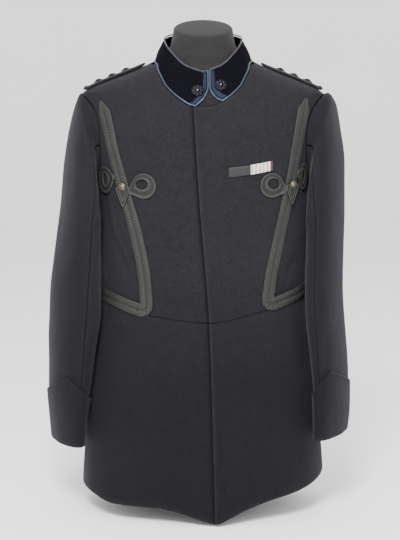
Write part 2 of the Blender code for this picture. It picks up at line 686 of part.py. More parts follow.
def add_tube(name, points, radius, material):
    """A thin round tube along a line of points, its caps welded."""
    path = bpy.data.curves.new(name + "_path", "CURVE")
    path.dimensions = "3D"
    path.bevel_depth = radius
    path.bevel_resolution = 1
    path.use_fill_caps = True
    spline = path.splines.new("POLY")
    spline.points.add(len(points) - 1)
    for spot, point in zip(spline.points, points):
        spot.co = (*point, 1.0)
    guide = bpy.data.objects.new(name + "_path", path)
    collection.objects.link(guide)
    mesh = bpy.data.meshes.new_from_object(guide.evaluated_get(bpy.context.evaluated_depsgraph_get()))
    shape = bmesh.new()
    shape.from_mesh(mesh)
    bmesh.ops.remove_doubles(shape, verts=shape.verts, dist=0.00001)
    bmesh.ops.recalc_face_normals(shape, faces=shape.faces)
    shape.to_mesh(mesh)
    shape.free()
    mesh.materials.clear()
    bpy.data.objects.remove(guide)
    return add_object(name, mesh, material)


def make_piping(name, side, material):
    """Piping round a collar half: lower edge, front edge and top edge."""
    off = PIPING_RADIUS + PIPING_GAP
    inset = MEETING_GAP + PIPING_RADIUS
    stop = side * (180 - COLLAR_BACK_GAP)
    foot = float(collar_front_angle(side, 0.0, inset + off))
    head = float(collar_front_angle(side, COLLAR_FRONT_HEIGHT, inset + off))
    below = (foot + COLLAR_ACROSS * (stop - foot))[::-1]
    lower = collar_point(below, np.full(below.shape, -off))
    rises = np.concatenate([[-0.75 * off], COLLAR_SHARES * COLLAR_FRONT_HEIGHT])
    insets = np.concatenate([[inset + 0.25 * off], np.full(len(COLLAR_SHARES), inset)])
    edge = collar_point(collar_front_angle(side, rises, insets), rises)
    corner_angle = collar_front_angle(side, COLLAR_FRONT_HEIGHT, inset + 0.25 * off)
    corner = collar_share_point(corner_angle, 1.0, 0.8 * off)
    above = head + COLLAR_ACROSS * (stop - head)
    upper = collar_share_point(above, np.ones(above.shape), off)
    return add_tube(name, np.concatenate([lower, edge, [corner], upper]), PIPING_RADIUS, material)


def frame_on_cloth(middle, along):
    """Outward normals and directions across, for a line of points that lies on the cloth."""
    middle = np.asarray(middle, float)
    angle = np.degrees(np.arctan2(middle[..., 0], TORSO_Y - middle[..., 1]))
    normal = body_normal(angle, middle[..., 2])
    return normal, unit(np.cross(normal, along))


BRAID_PROFILE = (
    (-1.0, 0.0), (-1.0, 0.55), (-0.72, 0.95), (-0.35, 0.95), (0.0, 0.45), (0.35, 0.95), (0.72, 0.95),
    (1.0, 0.55), (1.0, 0.0), (0.5, 0.0), (0.0, 0.0), (-0.5, 0.0),
)


def braid_rings(middle, half_widths, height, out):
    """Rings of a two-row braid that lies on the cloth along a line of points."""
    along = unit(np.gradient(middle, axis=0))
    normal, across = frame_on_cloth(middle, along)
    rings = []
    for spot in range(len(middle)):
        ring = []
        for reach, rise in BRAID_PROFILE:
            foot = on_cloth(middle[spot] + across[spot] * reach * half_widths[spot], out)
            ring.append(foot + normal[spot] * rise * height)
        rings.append(ring)
    return rings


def make_chest_braid(name, side, material):
    """The two-row braid from the shoulder to the corner at the waist."""
    rows = LEFT_CHEST_BRAID if side > 0 else RIGHT_CHEST_BRAID
    x_at = curve_through(rows[::-1], 1, 0)
    z = np.linspace(rows[0][1], rows[-1][1], 17)
    x = x_at(z) * side
    middle = cloth_point(front_angle(x, z), z)
    widths = np.full(len(z), BRAID_HALF_WIDTH)
    widths[0] = BRAID_HALF_WIDTH * 0.25
    return loft(name, braid_rings(middle, widths, BRAID_HEIGHT, BRAID_GAP), material)


def make_waist_braid(name, side, material):
    """The two-row braid from the corner round the waist to the side back."""
    rows = LEFT_WAIST_BRAID if side > 0 else RIGHT_WAIST_BRAID
    z_at = curve_through(rows, 0, 1)
    angle = np.linspace(rows[0][0], rows[-1][0], 18)
    middle = cloth_point(angle * side, z_at(angle))
    widths = np.full(len(angle), BRAID_HALF_WIDTH)
    return loft(name, braid_rings(middle, widths, BRAID_HEIGHT, WAIST_BRAID_GAP), material)


def make_loop(name, side, x, z, half_across, half_up, band, material):
    """A loop of braid that lies on the cloth."""
    x = side * x
    centre = cloth_point(front_angle(x, z), z)
    angle = np.degrees(np.arctan2(centre[0], TORSO_Y - centre[1]))
    normal = body_normal(angle, centre[2])
    across = unit(np.cross([0, 0, 1.0], normal))
    upward = np.cross(normal, across)
    profile = ((-1, 0), (-0.75, 0.8), (0, 1), (0.75, 0.8), (1, 0), (0, 0))
    rings = []
    for step in range(16):
        bearing = 2 * math.pi * step / 16
        ring = []
        for reach, rise in profile:
            inset = (1 - reach) * band / 2
            spoke = across * math.cos(bearing) * (half_across - inset)
            spoke = spoke + upward * math.sin(bearing) * (half_up - inset)
            foot = on_cloth(centre + spoke, BRAID_GAP)
            ring.append(foot + normal * (rise * LOOP_HEIGHT))
        rings.append(ring)
    return loft(name, rings, material, closed=True)


def patch_on_cloth(name, centre, outline, height, material, out=LAY_GAP, lapped=False):
    """A flat piece with a given outline that lies on the cloth, its lower side following it."""
    angle = np.degrees(np.arctan2(centre[0], TORSO_Y - centre[1]))
    normal = body_normal(angle, centre[2])
    across = unit(np.cross([0, 0, 1.0], normal))
    upward = np.cross(normal, across)
    low, high = [], []
    for right, up in outline:
        foot = on_cloth(centre + across * right + upward * up, out, lapped)
        low.append(foot)
        high.append(foot + normal * height)
    return loft(name, [low, high], material, smooth=False)


def make_tab(name, x, z, material):
    """The pointed tab under the button, over the braid."""
    centre = cloth_point(front_angle(x, z), z)
    outline = ((-0.80, 1.0), (0.80, 1.0), (1.1, 0.8), (0.6, -0.05), (0.0, -1.0), (-0.6, -0.05), (-1.1, 0.8))
    scaled = [(right * TAB_HALF_WIDTH, up * TAB_HALF_HEIGHT) for right, up in outline]
    return patch_on_cloth(name, centre, scaled, TAB_HEIGHT, material, BRAID_GAP + BRAID_HEIGHT + TAB_GAP)


def add_turned(name, profile, centre, normal, material, steps=14):
    """A turned piece from its profile, with its axis along a normal."""
    across = unit(np.cross([0, 0, 1.0], normal))
    upward = np.cross(normal, across)
    rings = []
    for radius, height in profile:
        bearings = 2 * np.pi * np.arange(steps) / steps
        spokes = np.outer(np.cos(bearings), across) + np.outer(np.sin(bearings), upward)
        rings.append(centre + spokes * radius + normal * height)
    return loft(name, rings, material)


def make_button(name, x, z, material):
    """A small domed button on the tab."""
    angle = front_angle(x, z)
    normal = body_normal(angle, z)
    seat = BRAID_GAP + BRAID_HEIGHT + TAB_GAP + TAB_HEIGHT + 0.0005
    centre = cloth_point(angle, z, seat)
    profile = [(BUTTON_RADIUS * 0.9, 0.0)]
    for tip in (0.0, 0.5, 0.95, 1.35):
        profile.append((BUTTON_RADIUS * math.cos(tip), BUTTON_HEIGHT * (0.3 + 0.7 * math.sin(tip))))
    return add_turned(name, profile, centre, normal, material)


def make_ribbon(name, x0, z0, x1, z1, material):
    """A ribbon sewn flat on the chest."""
    middle_x, middle_z = (x0 + x1) / 2, (z0 + z1) / 2
    centre = cloth_point(front_angle(middle_x, middle_z), middle_z)
    half = math.hypot(x1 - x0, z1 - z0) / 2
    slope = (z1 - z0) / (x1 - x0)
    outline = []
    for share in np.linspace(-1, 1, 4):
        outline.append((share * half, share * half * slope - RIBBON_HEIGHT / 2))
    for share in np.linspace(1, -1, 4):
        outline.append((share * half, share * half * slope + RIBBON_HEIGHT / 2))
    return patch_on_cloth(name, centre, outline, RIBBON_DEPTH, material, BRAID_GAP, True)


def shoulder_top(x, y):
    """Height of the body's surface over a point of the shoulder."""
    low, high = 0.70, 0.820
    for _ in range(30):
        z = (low + high) / 2
        depth = front_at(z) if y < TORSO_Y else back_at(z)
        power = squareness_at(z)
        filled = (abs(x) / half_width_at(z)) ** power + (abs(y - TORSO_Y) / depth) ** power
        if filled < 1:
            low = z
        else:
            high = z
    return low


def strap_half_width(x):
    share = (x - STRAP_IN_X) / (STRAP_OUT_X - STRAP_IN_X)
    width = STRAP_HALF_WIDTH_IN + share * (STRAP_HALF_WIDTH_OUT - STRAP_HALF_WIDTH_IN)
    rounding = math.sqrt(max(1 - max(1 - share / 0.12, 0) ** 2, 0.05))
    return width * rounding


def make_strap(name, side, material):
    """A shoulder strap that lies along the shoulder's ridge."""
    rings = []
    for x in np.linspace(STRAP_IN_X, STRAP_OUT_X, 9):
        half = strap_half_width(x)
        reaches = np.linspace(-half, half, 5)
        edge = min(x, STRAP_REST_X)
        heights = np.array([shoulder_top(edge, TORSO_Y + reach) for reach in reaches])
        heights = heights + STRAP_LIFT
        low = [(side * x, TORSO_Y + reach, z) for reach, z in zip(reaches, heights)]
        high = [(side * x, TORSO_Y + reach, z + STRAP_THICKNESS)
                for reach, z in zip(reaches[::-1], heights[::-1])]
        rings.append(low + high)
    return loft(name, rings, material)


def make_pip(name, side, x, material):
    """A plain raised pip, square on its corner."""
    lift = STRAP_LIFT + STRAP_THICKNESS + LAY_GAP
    slope = (shoulder_top(x - 0.008, TORSO_Y) - shoulder_top(x + 0.008, TORSO_Y)) / 0.016
    normal = unit(np.array([slope * side, 0.0, 1.0]))
    centre = np.array([side * x, TORSO_Y, shoulder_top(x, TORSO_Y) + lift])
    along = unit(np.cross([0, 1.0, 0], normal))
    backward = np.array([0, 1.0, 0])
    star = ((1, 0), (0.4, 0.4), (0, 1), (-0.4, 0.4), (-1, 0), (-0.4, -0.4), (0, -1), (0.4, -0.4))
    rings = []
    for share, height in ((1.0, 0.0004), (0.92, PIP_HEIGHT * 0.4), (0.3, PIP_HEIGHT)):
        middle = centre + normal * height
        rings.append([middle + PIP_RADIUS * share * (along * a + backward * b) for a, b in star])
    return loft(name, rings, material, smooth=False)


def make_rosette(name, side, material):
    """A plain round device on the collar's front."""
    x = COLLAR_MEETING_X + side * ROSETTE_DISTANCE
    angle = math.degrees(math.asin(x / 0.078)) + side * 4.0
    centre = collar_point(angle, ROSETTE_RISE)
    around = collar_point(angle + 1, ROSETTE_RISE) - collar_point(angle - 1, ROSETTE_RISE)
    upward = collar_point(angle, ROSETTE_RISE + 0.002) - collar_point(angle, ROSETTE_RISE - 0.002)
    normal = unit(np.cross(around, upward))
    shares = ((0.9, 0.0), (1.0, 0.4), (0.85, 0.9), (0.5, 0.6), (0.2, 1.0))
    profile = [(ROSETTE_RADIUS * across, ROSETTE_HEIGHT * up) for across, up in shares]
    return add_turned(name, profile, centre + normal * 0.0004, normal, material, 16)


def make_form(name, material):
    """The dress form: a smooth torso and neck, closed below the hip and at the neck's slanted top."""
    inset_at = curve_through(FORM_INSET, 0, 1)
    angles = np.linspace(0, 360, FORM_SIDES, endpoint=False)
    heights = (0.155, 0.162, 0.185, 0.22, 0.27, 0.33, 0.39, 0.45, 0.51, 0.565, 0.61, 0.65, 0.685, 0.712,
               0.730, 0.741, 0.748, 0.756, 0.765, 0.775, 0.786, 0.797)
    rounding = {0.155: 0.86, 0.162: 0.95}
    rings = []
    for z in heights:
        surface = plain_body(angles, z) - body_normal(angles, z) * inset_at(z)
        axis = np.array([0.0, TORSO_Y, z])
        ring = axis + (surface - axis) * rounding.get(z, 1.0)
        if z < 0.70:
            ring[:, 2] = z
        rings.append(ring)
    for z, half_width, front, back in FORM_NECK:
        sine, cosine = np.sin(np.radians(angles)), np.cos(np.radians(angles))
        y = TORSO_Y - np.where(cosine > 0, front, back) * cosine
        tilt = NECK_TILT * max(0.0, (z - 0.816) / 0.037)
        rings.append(np.stack([half_width * sine, y, z + tilt * (y - TORSO_Y)], axis=-1))
    top = rings[-1]
    middle = top.mean(axis=0)
    rings.append(middle + (top - middle) * 0.92 + [0, 0, NECK_CAP_RISE * 0.7])
    rings.append(middle + (top - middle) * 0.55 + [0, 0, NECK_CAP_RISE])
    return loft(name, rings, material)


def make_pole(name, material):
    length = FORM_BOTTOM_Z - BASE_HEIGHT - 2 * LAY_GAP
    bpy.ops.mesh.primitive_cylinder_add(vertices=20, radius=POLE_RADIUS, depth=length,
                                        location=(0, 0, BASE_HEIGHT + LAY_GAP + length / 2))
    return take_over(name, material)


def make_base(name, material):
    bpy.ops.mesh.primitive_cylinder_add(vertices=40, radius=BASE_RADIUS, depth=BASE_HEIGHT,
                                        location=(0, 0, BASE_HEIGHT / 2))
    item = take_over(name, material)
    edge = item.modifiers.new("rounded_edge", "BEVEL")
    edge.width = 0.0015
    edge.segments = 1
    edge.angle_limit = math.radians(60)
    edge.limit_method = "ANGLE"
    return item


def take_over(name, material):
    """Name a new primitive and move it to the object's collection."""
    item = bpy.context.active_object
    item.name = name
    item.data.name = name
    item.data.materials.append(material)
    item.data.shade_smooth()
    item.data.set_sharp_from_angle(angle=math.radians(50))
    for owner in list(item.users_collection):
        owner.objects.unlink(item)
    collection.objects.link(item)
    return item


for leftover in list(bpy.data.objects):
    bpy.data.objects.remove(leftover)
collection = bpy.data.collections.new("military_tunic_on_dress_form")
bpy.context.scene.collection.children.link(collection)

cloth = new_material("dark_wool_cloth", (0.030, 0.031, 0.036), 0.9)
velvet = new_material("navy_velvet", (0.010, 0.010, 0.030), 0.8)
blue = new_material("light_blue_piping", (0.16, 0.30, 0.50), 0.6)
mohair = new_material("grey_green_mohair_braid", (0.075, 0.080, 0.070), 0.7)
gilt = new_material("dull_gilt", (0.35, 0.30, 0.18), 0.45, 1.0)
bronze = new_material("dark_bronze", (0.06, 0.06, 0.07), 0.4, 0.8)
strap_cloth = new_material("black_strap_cloth", (0.018, 0.018, 0.020), 0.8)
ribbon_dark = new_material("dark_ribbon", (0.015, 0.014, 0.016), 0.6)
ribbon_pale = new_material("striped_ribbon", (0.60, 0.58, 0.52), 0.6)
form_cloth = new_material("charcoal_form_cover", (0.050, 0.052, 0.052), 0.85)
steel = new_material("grey_painted_steel", (0.10, 0.10, 0.11), 0.45, 0.6)

SIDES = (("left", 1), ("right", -1))
for word, way in SIDES:
    make_front("front_" + word, way, cloth)
    make_back("back_" + word, way, cloth)
    make_skirt("skirt_front_" + word, way, "front", cloth)
    make_skirt("skirt_back_" + word, way, "back", cloth)
    make_sleeve("top_sleeve_" + word, way, -90, 90, cloth)
    make_sleeve("under_sleeve_" + word, way, 90, 270, cloth)
    make_cuff("cuff_" + word, way, cloth)
    make_collar("collar_" + word, way, velvet)
    make_piping("collar_piping_" + word, way, blue)
    make_chest_braid("chest_braid_" + word, way, mohair)
    make_waist_braid("waist_braid_" + word, way, mohair)
    tab_x, tab_z = LEFT_TAB if way > 0 else RIGHT_TAB
    make_tab("pointed_tab_" + word, way * tab_x, tab_z, mohair)
    make_button("braid_button_" + word, way * tab_x, tab_z + BUTTON_RISE, gilt)
    make_strap("shoulder_strap_" + word, way, strap_cloth)
    for number, pip_x in enumerate(PIP_X, start=1):
        make_pip(f"strap_pip_{word}_{number}", way, pip_x, bronze)
    make_rosette("collar_rosette_" + word, way, bronze)
for loop in LOOPS:
    make_loop(*loop, mohair)
make_ribbon(*RIBBONS[0], ribbon_dark)
make_ribbon(*RIBBONS[1], ribbon_pale)
make_form("form_body", form_cloth)
make_pole("form_pole", steel)
make_base("form_base", steel)
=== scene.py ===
# Military tunic on a dress form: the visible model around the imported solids, in metres.
import math

import bmesh
import bpy
import numpy as np
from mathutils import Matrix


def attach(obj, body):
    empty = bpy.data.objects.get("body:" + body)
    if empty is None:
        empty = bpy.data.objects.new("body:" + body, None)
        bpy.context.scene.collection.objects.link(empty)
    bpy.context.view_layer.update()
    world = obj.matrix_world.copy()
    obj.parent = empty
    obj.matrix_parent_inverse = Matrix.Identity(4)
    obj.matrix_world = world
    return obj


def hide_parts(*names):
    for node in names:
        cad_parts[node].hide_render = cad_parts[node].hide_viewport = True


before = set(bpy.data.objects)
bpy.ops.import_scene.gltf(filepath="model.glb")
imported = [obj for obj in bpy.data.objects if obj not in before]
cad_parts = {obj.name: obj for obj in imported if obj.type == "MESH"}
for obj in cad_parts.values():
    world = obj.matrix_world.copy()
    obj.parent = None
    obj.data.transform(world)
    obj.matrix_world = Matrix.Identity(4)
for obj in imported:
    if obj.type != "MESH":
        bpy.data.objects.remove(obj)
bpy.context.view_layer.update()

# Driving dimensions
TORSO_Y = -0.022
CLOTH = 0.0022
SEAM_GAP = 0.0004
LAP_WIDTH = 0.028
LAP_MARGIN = 0.006
LAP_FADE = 0.020
LAP_LIFT = CLOTH + 0.0010
LAY_GAP = 0.0003
BRAID_GAP = 0.0008
WAIST_BRAID_GAP = 0.0011
MEETING_GAP = 0.0004

# Body of the tunic: one row for each height, depths measured from the torso's axis
# Columns: z, half_width, front, back, squareness
BODY = (
    (-0.020, 0.2215, 0.158, 0.138, 2.25),
    (0.050, 0.2190, 0.153, 0.134, 2.25),
    (0.112, 0.2145, 0.147, 0.128, 2.25),
    (0.192, 0.2090, 0.139, 0.119, 2.25),
    (0.280, 0.1985, 0.129, 0.108, 2.30),
    (0.340, 0.1890, 0.120, 0.098, 2.30),
    (0.380, 0.1845, 0.117, 0.094, 2.30),
    (0.430, 0.1845, 0.118, 0.095, 2.35),
    (0.500, 0.1875, 0.122, 0.101, 2.40),
    (0.565, 0.1900, 0.125, 0.108, 2.40),
    (0.620, 0.1950, 0.124, 0.112, 2.40),
    (0.665, 0.2010, 0.115, 0.111, 2.40),
    (0.700, 0.2060, 0.101, 0.107, 2.40),
    (0.720, 0.2090, 0.091, 0.101, 2.40),
    (0.741, 0.2120, 0.080, 0.093, 2.40),
    (0.748, 0.2040, 0.076, 0.090, 2.40),
    (0.755, 0.1895, 0.072, 0.087, 2.40),
    (0.764, 0.1680, 0.066, 0.084, 2.40),
    (0.775, 0.1400, 0.060, 0.081, 2.35),
    (0.786, 0.1120, 0.054, 0.079, 2.25),
    (0.797, 0.0885, 0.048, 0.077, 2.15),
    (0.808, 0.0730, 0.044, 0.076, 2.10),
    (0.820, 0.0630, 0.040, 0.075, 2.05),
)

# Lines on the body, by angle round the torso's axis (0 is the front, 90 the wearer's left)
# Columns: angle, z
WAIST_SEAM = (
    (-180, 0.394), (-90, 0.392), (-60, 0.378), (-38, 0.360), (5, 0.350), (44, 0.367),
    (65, 0.381), (90, 0.394), (180, 0.394),
)
HEM = (
    (-180, 0.052), (-90, 0.046), (-73, 0.042), (-53, 0.030), (-30, 0.031), (-13, 0.022),
    (0, 0.010), (8, 0.005), (20, 0.019), (28, 0.029), (40, 0.040), (60, 0.052), (78, 0.064),
    (90, 0.070), (130, 0.058), (180, 0.052),
)
NECKLINE = (
    (0, 0.717), (12, 0.720), (25, 0.731), (42, 0.752), (55, 0.7735), (70, 0.790), (90, 0.797),
    (120, 0.807), (150, 0.811), (180, 0.812),
)
# Edge of the lapping front, from the hem to the neck
# Columns: z, x
FRONT_EDGE = ((-0.020, 0.0210), (0.219, 0.0150), (0.352, 0.0100), (0.563, -0.0070), (0.740, -0.0180))

ARMHOLE_Z = 0.6525
ARMHOLE_HALF_HEIGHT = 0.0895
ARMHOLE_HALF_ANGLE = 20.0
ARMHOLE_GAP = 0.0006
ARMHOLE_STEP = 0.0013

# Largest folds: a straight trough from one end to the other, or a ridge where depth is negative
# Columns: face, x0, z0, x1, z1, width, depth
FOLDS = (
    ("front", -0.171, 0.575, -0.158, 0.495, 0.010, 0.0060),
    ("front", -0.158, 0.500, -0.124, 0.425, 0.010, 0.0070),
    ("front", -0.176, 0.500, -0.150, 0.425, 0.013, -0.0035),
    ("front", 0.168, 0.480, 0.142, 0.415, 0.009, 0.0055),
    ("front", 0.150, 0.400, 0.125, 0.402, 0.013, 0.0045),
    ("front", -0.150, 0.345, -0.130, 0.290, 0.015, 0.0035),
    ("front", 0.160, 0.350, 0.163, 0.270, 0.013, 0.0040),
    ("back", -0.150, 0.470, -0.120, 0.420, 0.013, 0.0050),
    ("back", 0.150, 0.470, 0.120, 0.420, 0.013, 0.0050),
    ("back", -0.070, 0.330, -0.085, 0.120, 0.024, 0.0080),
    ("back", 0.070, 0.330, 0.085, 0.120, 0.024, 0.0080),
)

# Sleeves: one row for each ring, x measured outwards from the torso's middle
# Columns: outer_x, outer_z, inner_x, inner_z, mid_y, half_depth, turn
RIGHT_SLEEVE = (
    (0.2130, 0.742, 0.1915, 0.563, 0.000, 0.062, 0.000),
    (0.2205, 0.738, 0.1936, 0.556, -0.010, 0.064, 0.013),
    (0.2240, 0.718, 0.1935, 0.545, -0.016, 0.067, 0.021),
    (0.2302, 0.677, 0.1932, 0.528, -0.024, 0.070, 0.026),
    (0.2376, 0.624, 0.1900, 0.505, -0.030, 0.071, 0.028),
    (0.2463, 0.553, 0.1868, 0.470, -0.029, 0.070, 0.025),
    (0.2558, 0.481, 0.1860, 0.425, -0.030, 0.069, 0.026),
    (0.2673, 0.392, 0.1862, 0.361, -0.032, 0.066, 0.026),
    (0.2708, 0.305, 0.1965, 0.290, -0.034, 0.064, 0.026),
    (0.2703, 0.221, 0.2085, 0.217, -0.036, 0.061, 0.025),
    (0.2668, 0.168, 0.2175, 0.166, -0.037, 0.059, 0.024),
    (0.2633, 0.125, 0.2215, 0.125, -0.038, 0.058, 0.023),
)
LEFT_SLEEVE = (
    (0.2130, 0.742, 0.1915, 0.563, 0.000, 0.062, 0.000),
    (0.2260, 0.746, 0.1936, 0.556, -0.010, 0.064, 0.013),
    (0.2300, 0.731, 0.1935, 0.545, -0.016, 0.067, 0.021),
    (0.2342, 0.694, 0.1932, 0.528, -0.023, 0.070, 0.026),
    (0.2421, 0.638, 0.1900, 0.505, -0.027, 0.071, 0.027),
    (0.2463, 0.560, 0.1866, 0.470, -0.026, 0.071, 0.023),
    (0.2458, 0.480, 0.1856, 0.425, -0.027, 0.071, 0.023),
    (0.2443, 0.394, 0.1872, 0.363, -0.030, 0.069, 0.023),
    (0.2483, 0.317, 0.1950, 0.294, -0.036, 0.066, 0.024),
    (0.2518, 0.240, 0.2035, 0.224, -0.045, 0.063, 0.025),
    (0.2508, 0.183, 0.2070, 0.183, -0.053, 0.061, 0.026),
    (0.2463, 0.143, 0.2080, 0.143, -0.059, 0.060, 0.026),
)
CUFF_GAP = 0.0011
CUFF_TOP_ROW = 9.15
CUFF_POINT_ROWS = 0.52
CUFF_POINT_ANGLE = 55.0
CUFF_POINT_SPREAD = 80.0

# Collar: one row for each angle, the top edge leaning in over the base
COLLAR_RISE = 0.0040
COLLAR_STEP = 0.0008
COLLAR_WALL = 0.0028
COLLAR_BACK_GAP = 0.30
COLLAR_FRONT_HEIGHT = 0.058
# Columns: angle, z
COLLAR_TOP = ((0, 0.777), (30, 0.789), (60, 0.814), (90, 0.834), (135, 0.845), (180, 0.848))
COLLAR_TOP_HALF_WIDTH = 0.0690
COLLAR_TOP_FRONT = 0.0625
COLLAR_TOP_BACK = 0.0600
COLLAR_MEETING_X = 0.0100
COLLAR_CORNER = 0.0190
COLLAR_CORNER_HEIGHT = 0.034
PIPING_RADIUS = 0.0013
PIPING_GAP = 0.0007

# Braid: the path's middle by x and height on the front, x measured outwards
BRAID_HALF_WIDTH = 0.0108
BRAID_HEIGHT = 0.0024
# Columns: x, z
RIGHT_CHEST_BRAID = (
    (0.1755, 0.729), (0.1650, 0.690), (0.1545, 0.646), (0.1370, 0.583), (0.1125, 0.493),
    (0.1010, 0.430), (0.0975, 0.385),
)
LEFT_CHEST_BRAID = (
    (0.1775, 0.733), (0.1690, 0.690), (0.1600, 0.646), (0.1500, 0.590), (0.1300, 0.493),
    (0.1170, 0.430), (0.1120, 0.396),
)
# Columns: angle, z
RIGHT_WAIST_BRAID = ((41.5, 0.3665), (52, 0.374), (65, 0.385), (80, 0.394), (96, 0.397), (125, 0.397))
LEFT_WAIST_BRAID = ((45.5, 0.3755), (56, 0.384), (68, 0.394), (80, 0.401), (96, 0.402), (125, 0.397))

# Trefoils, seen from the front: a loop on each side of the braid and a tab below the button
LOOP_HEIGHT = 0.0028
# Columns: name, side, x, z, half_across, half_up, band
LOOPS = (
    ("inner_loop_right", -1, 0.1005, 0.5855, 0.0220, 0.0220, 0.0110),
    ("outer_loop_right", -1, 0.1680, 0.5940, 0.0190, 0.0230, 0.0105),
    ("inner_loop_left", 1, 0.1165, 0.5865, 0.0215, 0.0215, 0.0110),
    ("outer_loop_left", 1, 0.1712, 0.6000, 0.0125, 0.0230, 0.0085),
)
# Columns: x, z
RIGHT_TAB = (0.1350, 0.566)
LEFT_TAB = (0.1500, 0.570)
TAB_HALF_WIDTH = 0.0120
TAB_HALF_HEIGHT = 0.0170
TAB_HEIGHT = 0.0022
TAB_GAP = 0.0006
BUTTON_RADIUS = 0.0064
BUTTON_HEIGHT = 0.0048
BUTTON_RISE = 0.018

# Ribbons on the wearer's left chest
RIBBON_HEIGHT = 0.0165
RIBBON_DEPTH = 0.0018
# Columns: name, x0, z0, x1, z1
RIBBONS = (
    ("ribbon_dark", 0.0430, 0.6090, 0.0795, 0.6130),
    ("ribbon_striped", 0.0802, 0.6135, 0.1190, 0.6200),
)

# Shoulder straps and their plain raised pips
STRAP_THICKNESS = 0.0045
STRAP_LIFT = 0.0012
STRAP_HALF_WIDTH_OUT = 0.0240
STRAP_HALF_WIDTH_IN = 0.0195
STRAP_OUT_X = 0.2090
STRAP_IN_X = 0.1020
STRAP_REST_X = 0.2020
PIP_X = (0.1850, 0.1610, 0.1370)
PIP_RADIUS = 0.0085
PIP_HEIGHT = 0.0040

# Collar rosettes
ROSETTE_RADIUS = 0.0115
ROSETTE_HEIGHT = 0.0032
ROSETTE_DISTANCE = 0.0140
ROSETTE_RISE = 0.0270

# Dress form, pole and base plate
# Columns: z, inset
FORM_INSET = (
    (0.155, 0.052), (0.200, 0.042), (0.280, 0.026), (0.340, 0.019), (0.400, 0.017), (0.500, 0.017),
    (0.580, 0.013), (0.640, 0.008), (0.690, 0.0048), (0.800, 0.0048),
)
# Columns: z, half_width, front, back
FORM_NECK = (
    (0.806, 0.0705, 0.0470, 0.0690), (0.816, 0.0615, 0.0475, 0.0620), (0.826, 0.0570, 0.0485, 0.0565),
    (0.840, 0.0540, 0.0495, 0.0525), (0.853, 0.0520, 0.0500, 0.0500),
)
NECK_TILT = 0.35
NECK_CAP_RISE = 0.004

# Details that only the visible model has
FLY_WIDTH = 0.0475
SKIRT_FLY_WIDTH = 0.0115
# Columns: x, z
SKIRT_FLY = ((0.0570, 0.3520), (0.0545, 0.3400), (0.0440, 0.3190), (0.0330, 0.3080), (0.0262, 0.3020),
             (0.0252, 0.2940), (0.0252, 0.2840))
SILK_WIDTH = 0.0062
PIPING_SHADE_Y = -0.098
CORNER_REACH = 0.0155
BRAID_WIDE = 0.0116
BRAID_PITCH = 0.0050
SIDE_SEAM_SHARE = 0.1  # the skirts' side seam is nearly closed, so no light shows through it
SLEEVE_SEAM_ANGLE = 0.52
LAST_SLEEVE_ROW = 11
RIDGE_NECK_X = 0.0885
RIDGE_SHOULDER_X = 0.212
COLLAR_BULGE = 0.0022
PIPING_STEPS = 420
PIPING_SIDES = 10
LOOP_STEPS = 150
LOOP_ACROSS = 23
BUTTON_STEPS = 48
PIP_STEPS = 64
ROSETTE_STEPS = 96
FORM_STEPS = 120


def curve_through(rows, knot, value):
    """A smooth curve through two columns of a table, which never overshoots its rows."""
    knots = np.array([row[knot] for row in rows], float)
    values = np.array([row[value] for row in rows], float)
    steps = np.diff(knots)
    rises = np.diff(values) / steps
    slopes = np.zeros(len(knots))
    before, after = rises[:-1], rises[1:]
    same_way = before * after > 0
    slopes[1:-1][same_way] = 2 * before[same_way] * after[same_way] / (before + after)[same_way]
    slopes[0], slopes[-1] = rises[0], rises[-1]

    def at(query):
        query = np.clip(query, knots[0], knots[-1])
        row = np.clip(np.searchsorted(knots, query, side="right") - 1, 0, len(steps) - 1)
        t = (query - knots[row]) / steps[row]
        start = values[row] * (1 + 2 * t) * (1 - t) ** 2 + values[row + 1] * t * t * (3 - 2 * t)
        lean = slopes[row] * t * (1 - t) ** 2 - slopes[row + 1] * t * t * (1 - t)
        return start + lean * steps[row]

    return at


half_width_at, front_at, back_at, squareness_at = (curve_through(BODY, 0, column) for column in range(1, 5))
waist_at = curve_through(WAIST_SEAM, 0, 1)
hem_at = curve_through(HEM, 0, 1)
neckline_at = curve_through(NECKLINE, 0, 1)
front_edge_at = curve_through(FRONT_EDGE, 0, 1)
collar_top_at = curve_through(COLLAR_TOP, 0, 1)


def smooth_step(value):
    value = np.clip(value, 0.0, 1.0)
    return value * value * (3 - 2 * value)


def plain_body(angle, z):
    """Point of the body's smooth outer surface at an angle in degrees and a height."""
    angle, z = np.broadcast_arrays(np.asarray(angle, float), np.asarray(z, float))
    sine, cosine = np.sin(np.radians(angle)), np.cos(np.radians(angle))
    depth = np.where(cosine > 0, front_at(z), back_at(z))
    power = squareness_at(z)
    reach = ((abs(sine) / half_width_at(z)) ** power + (abs(cosine) / depth) ** power) ** (-1 / power)
    return np.stack([reach * sine, TORSO_Y - reach * cosine, z], axis=-1)


def unit(vectors):
    return vectors / np.linalg.norm(vectors, axis=-1, keepdims=True)


def body_normal(angle, z):
    across = plain_body(angle + 0.2, z) - plain_body(angle - 0.2, z)
    upward = plain_body(angle, z + 0.0004) - plain_body(angle, z - 0.0004)
    return unit(np.cross(across, upward))


def from_line(offset, along):
    """Place along a line as a share, and the distance from it, for offsets from its start."""
    place = np.clip(offset @ along / (along @ along), 0, 1)
    return place, np.linalg.norm(offset - place[..., None] * along, axis=-1)


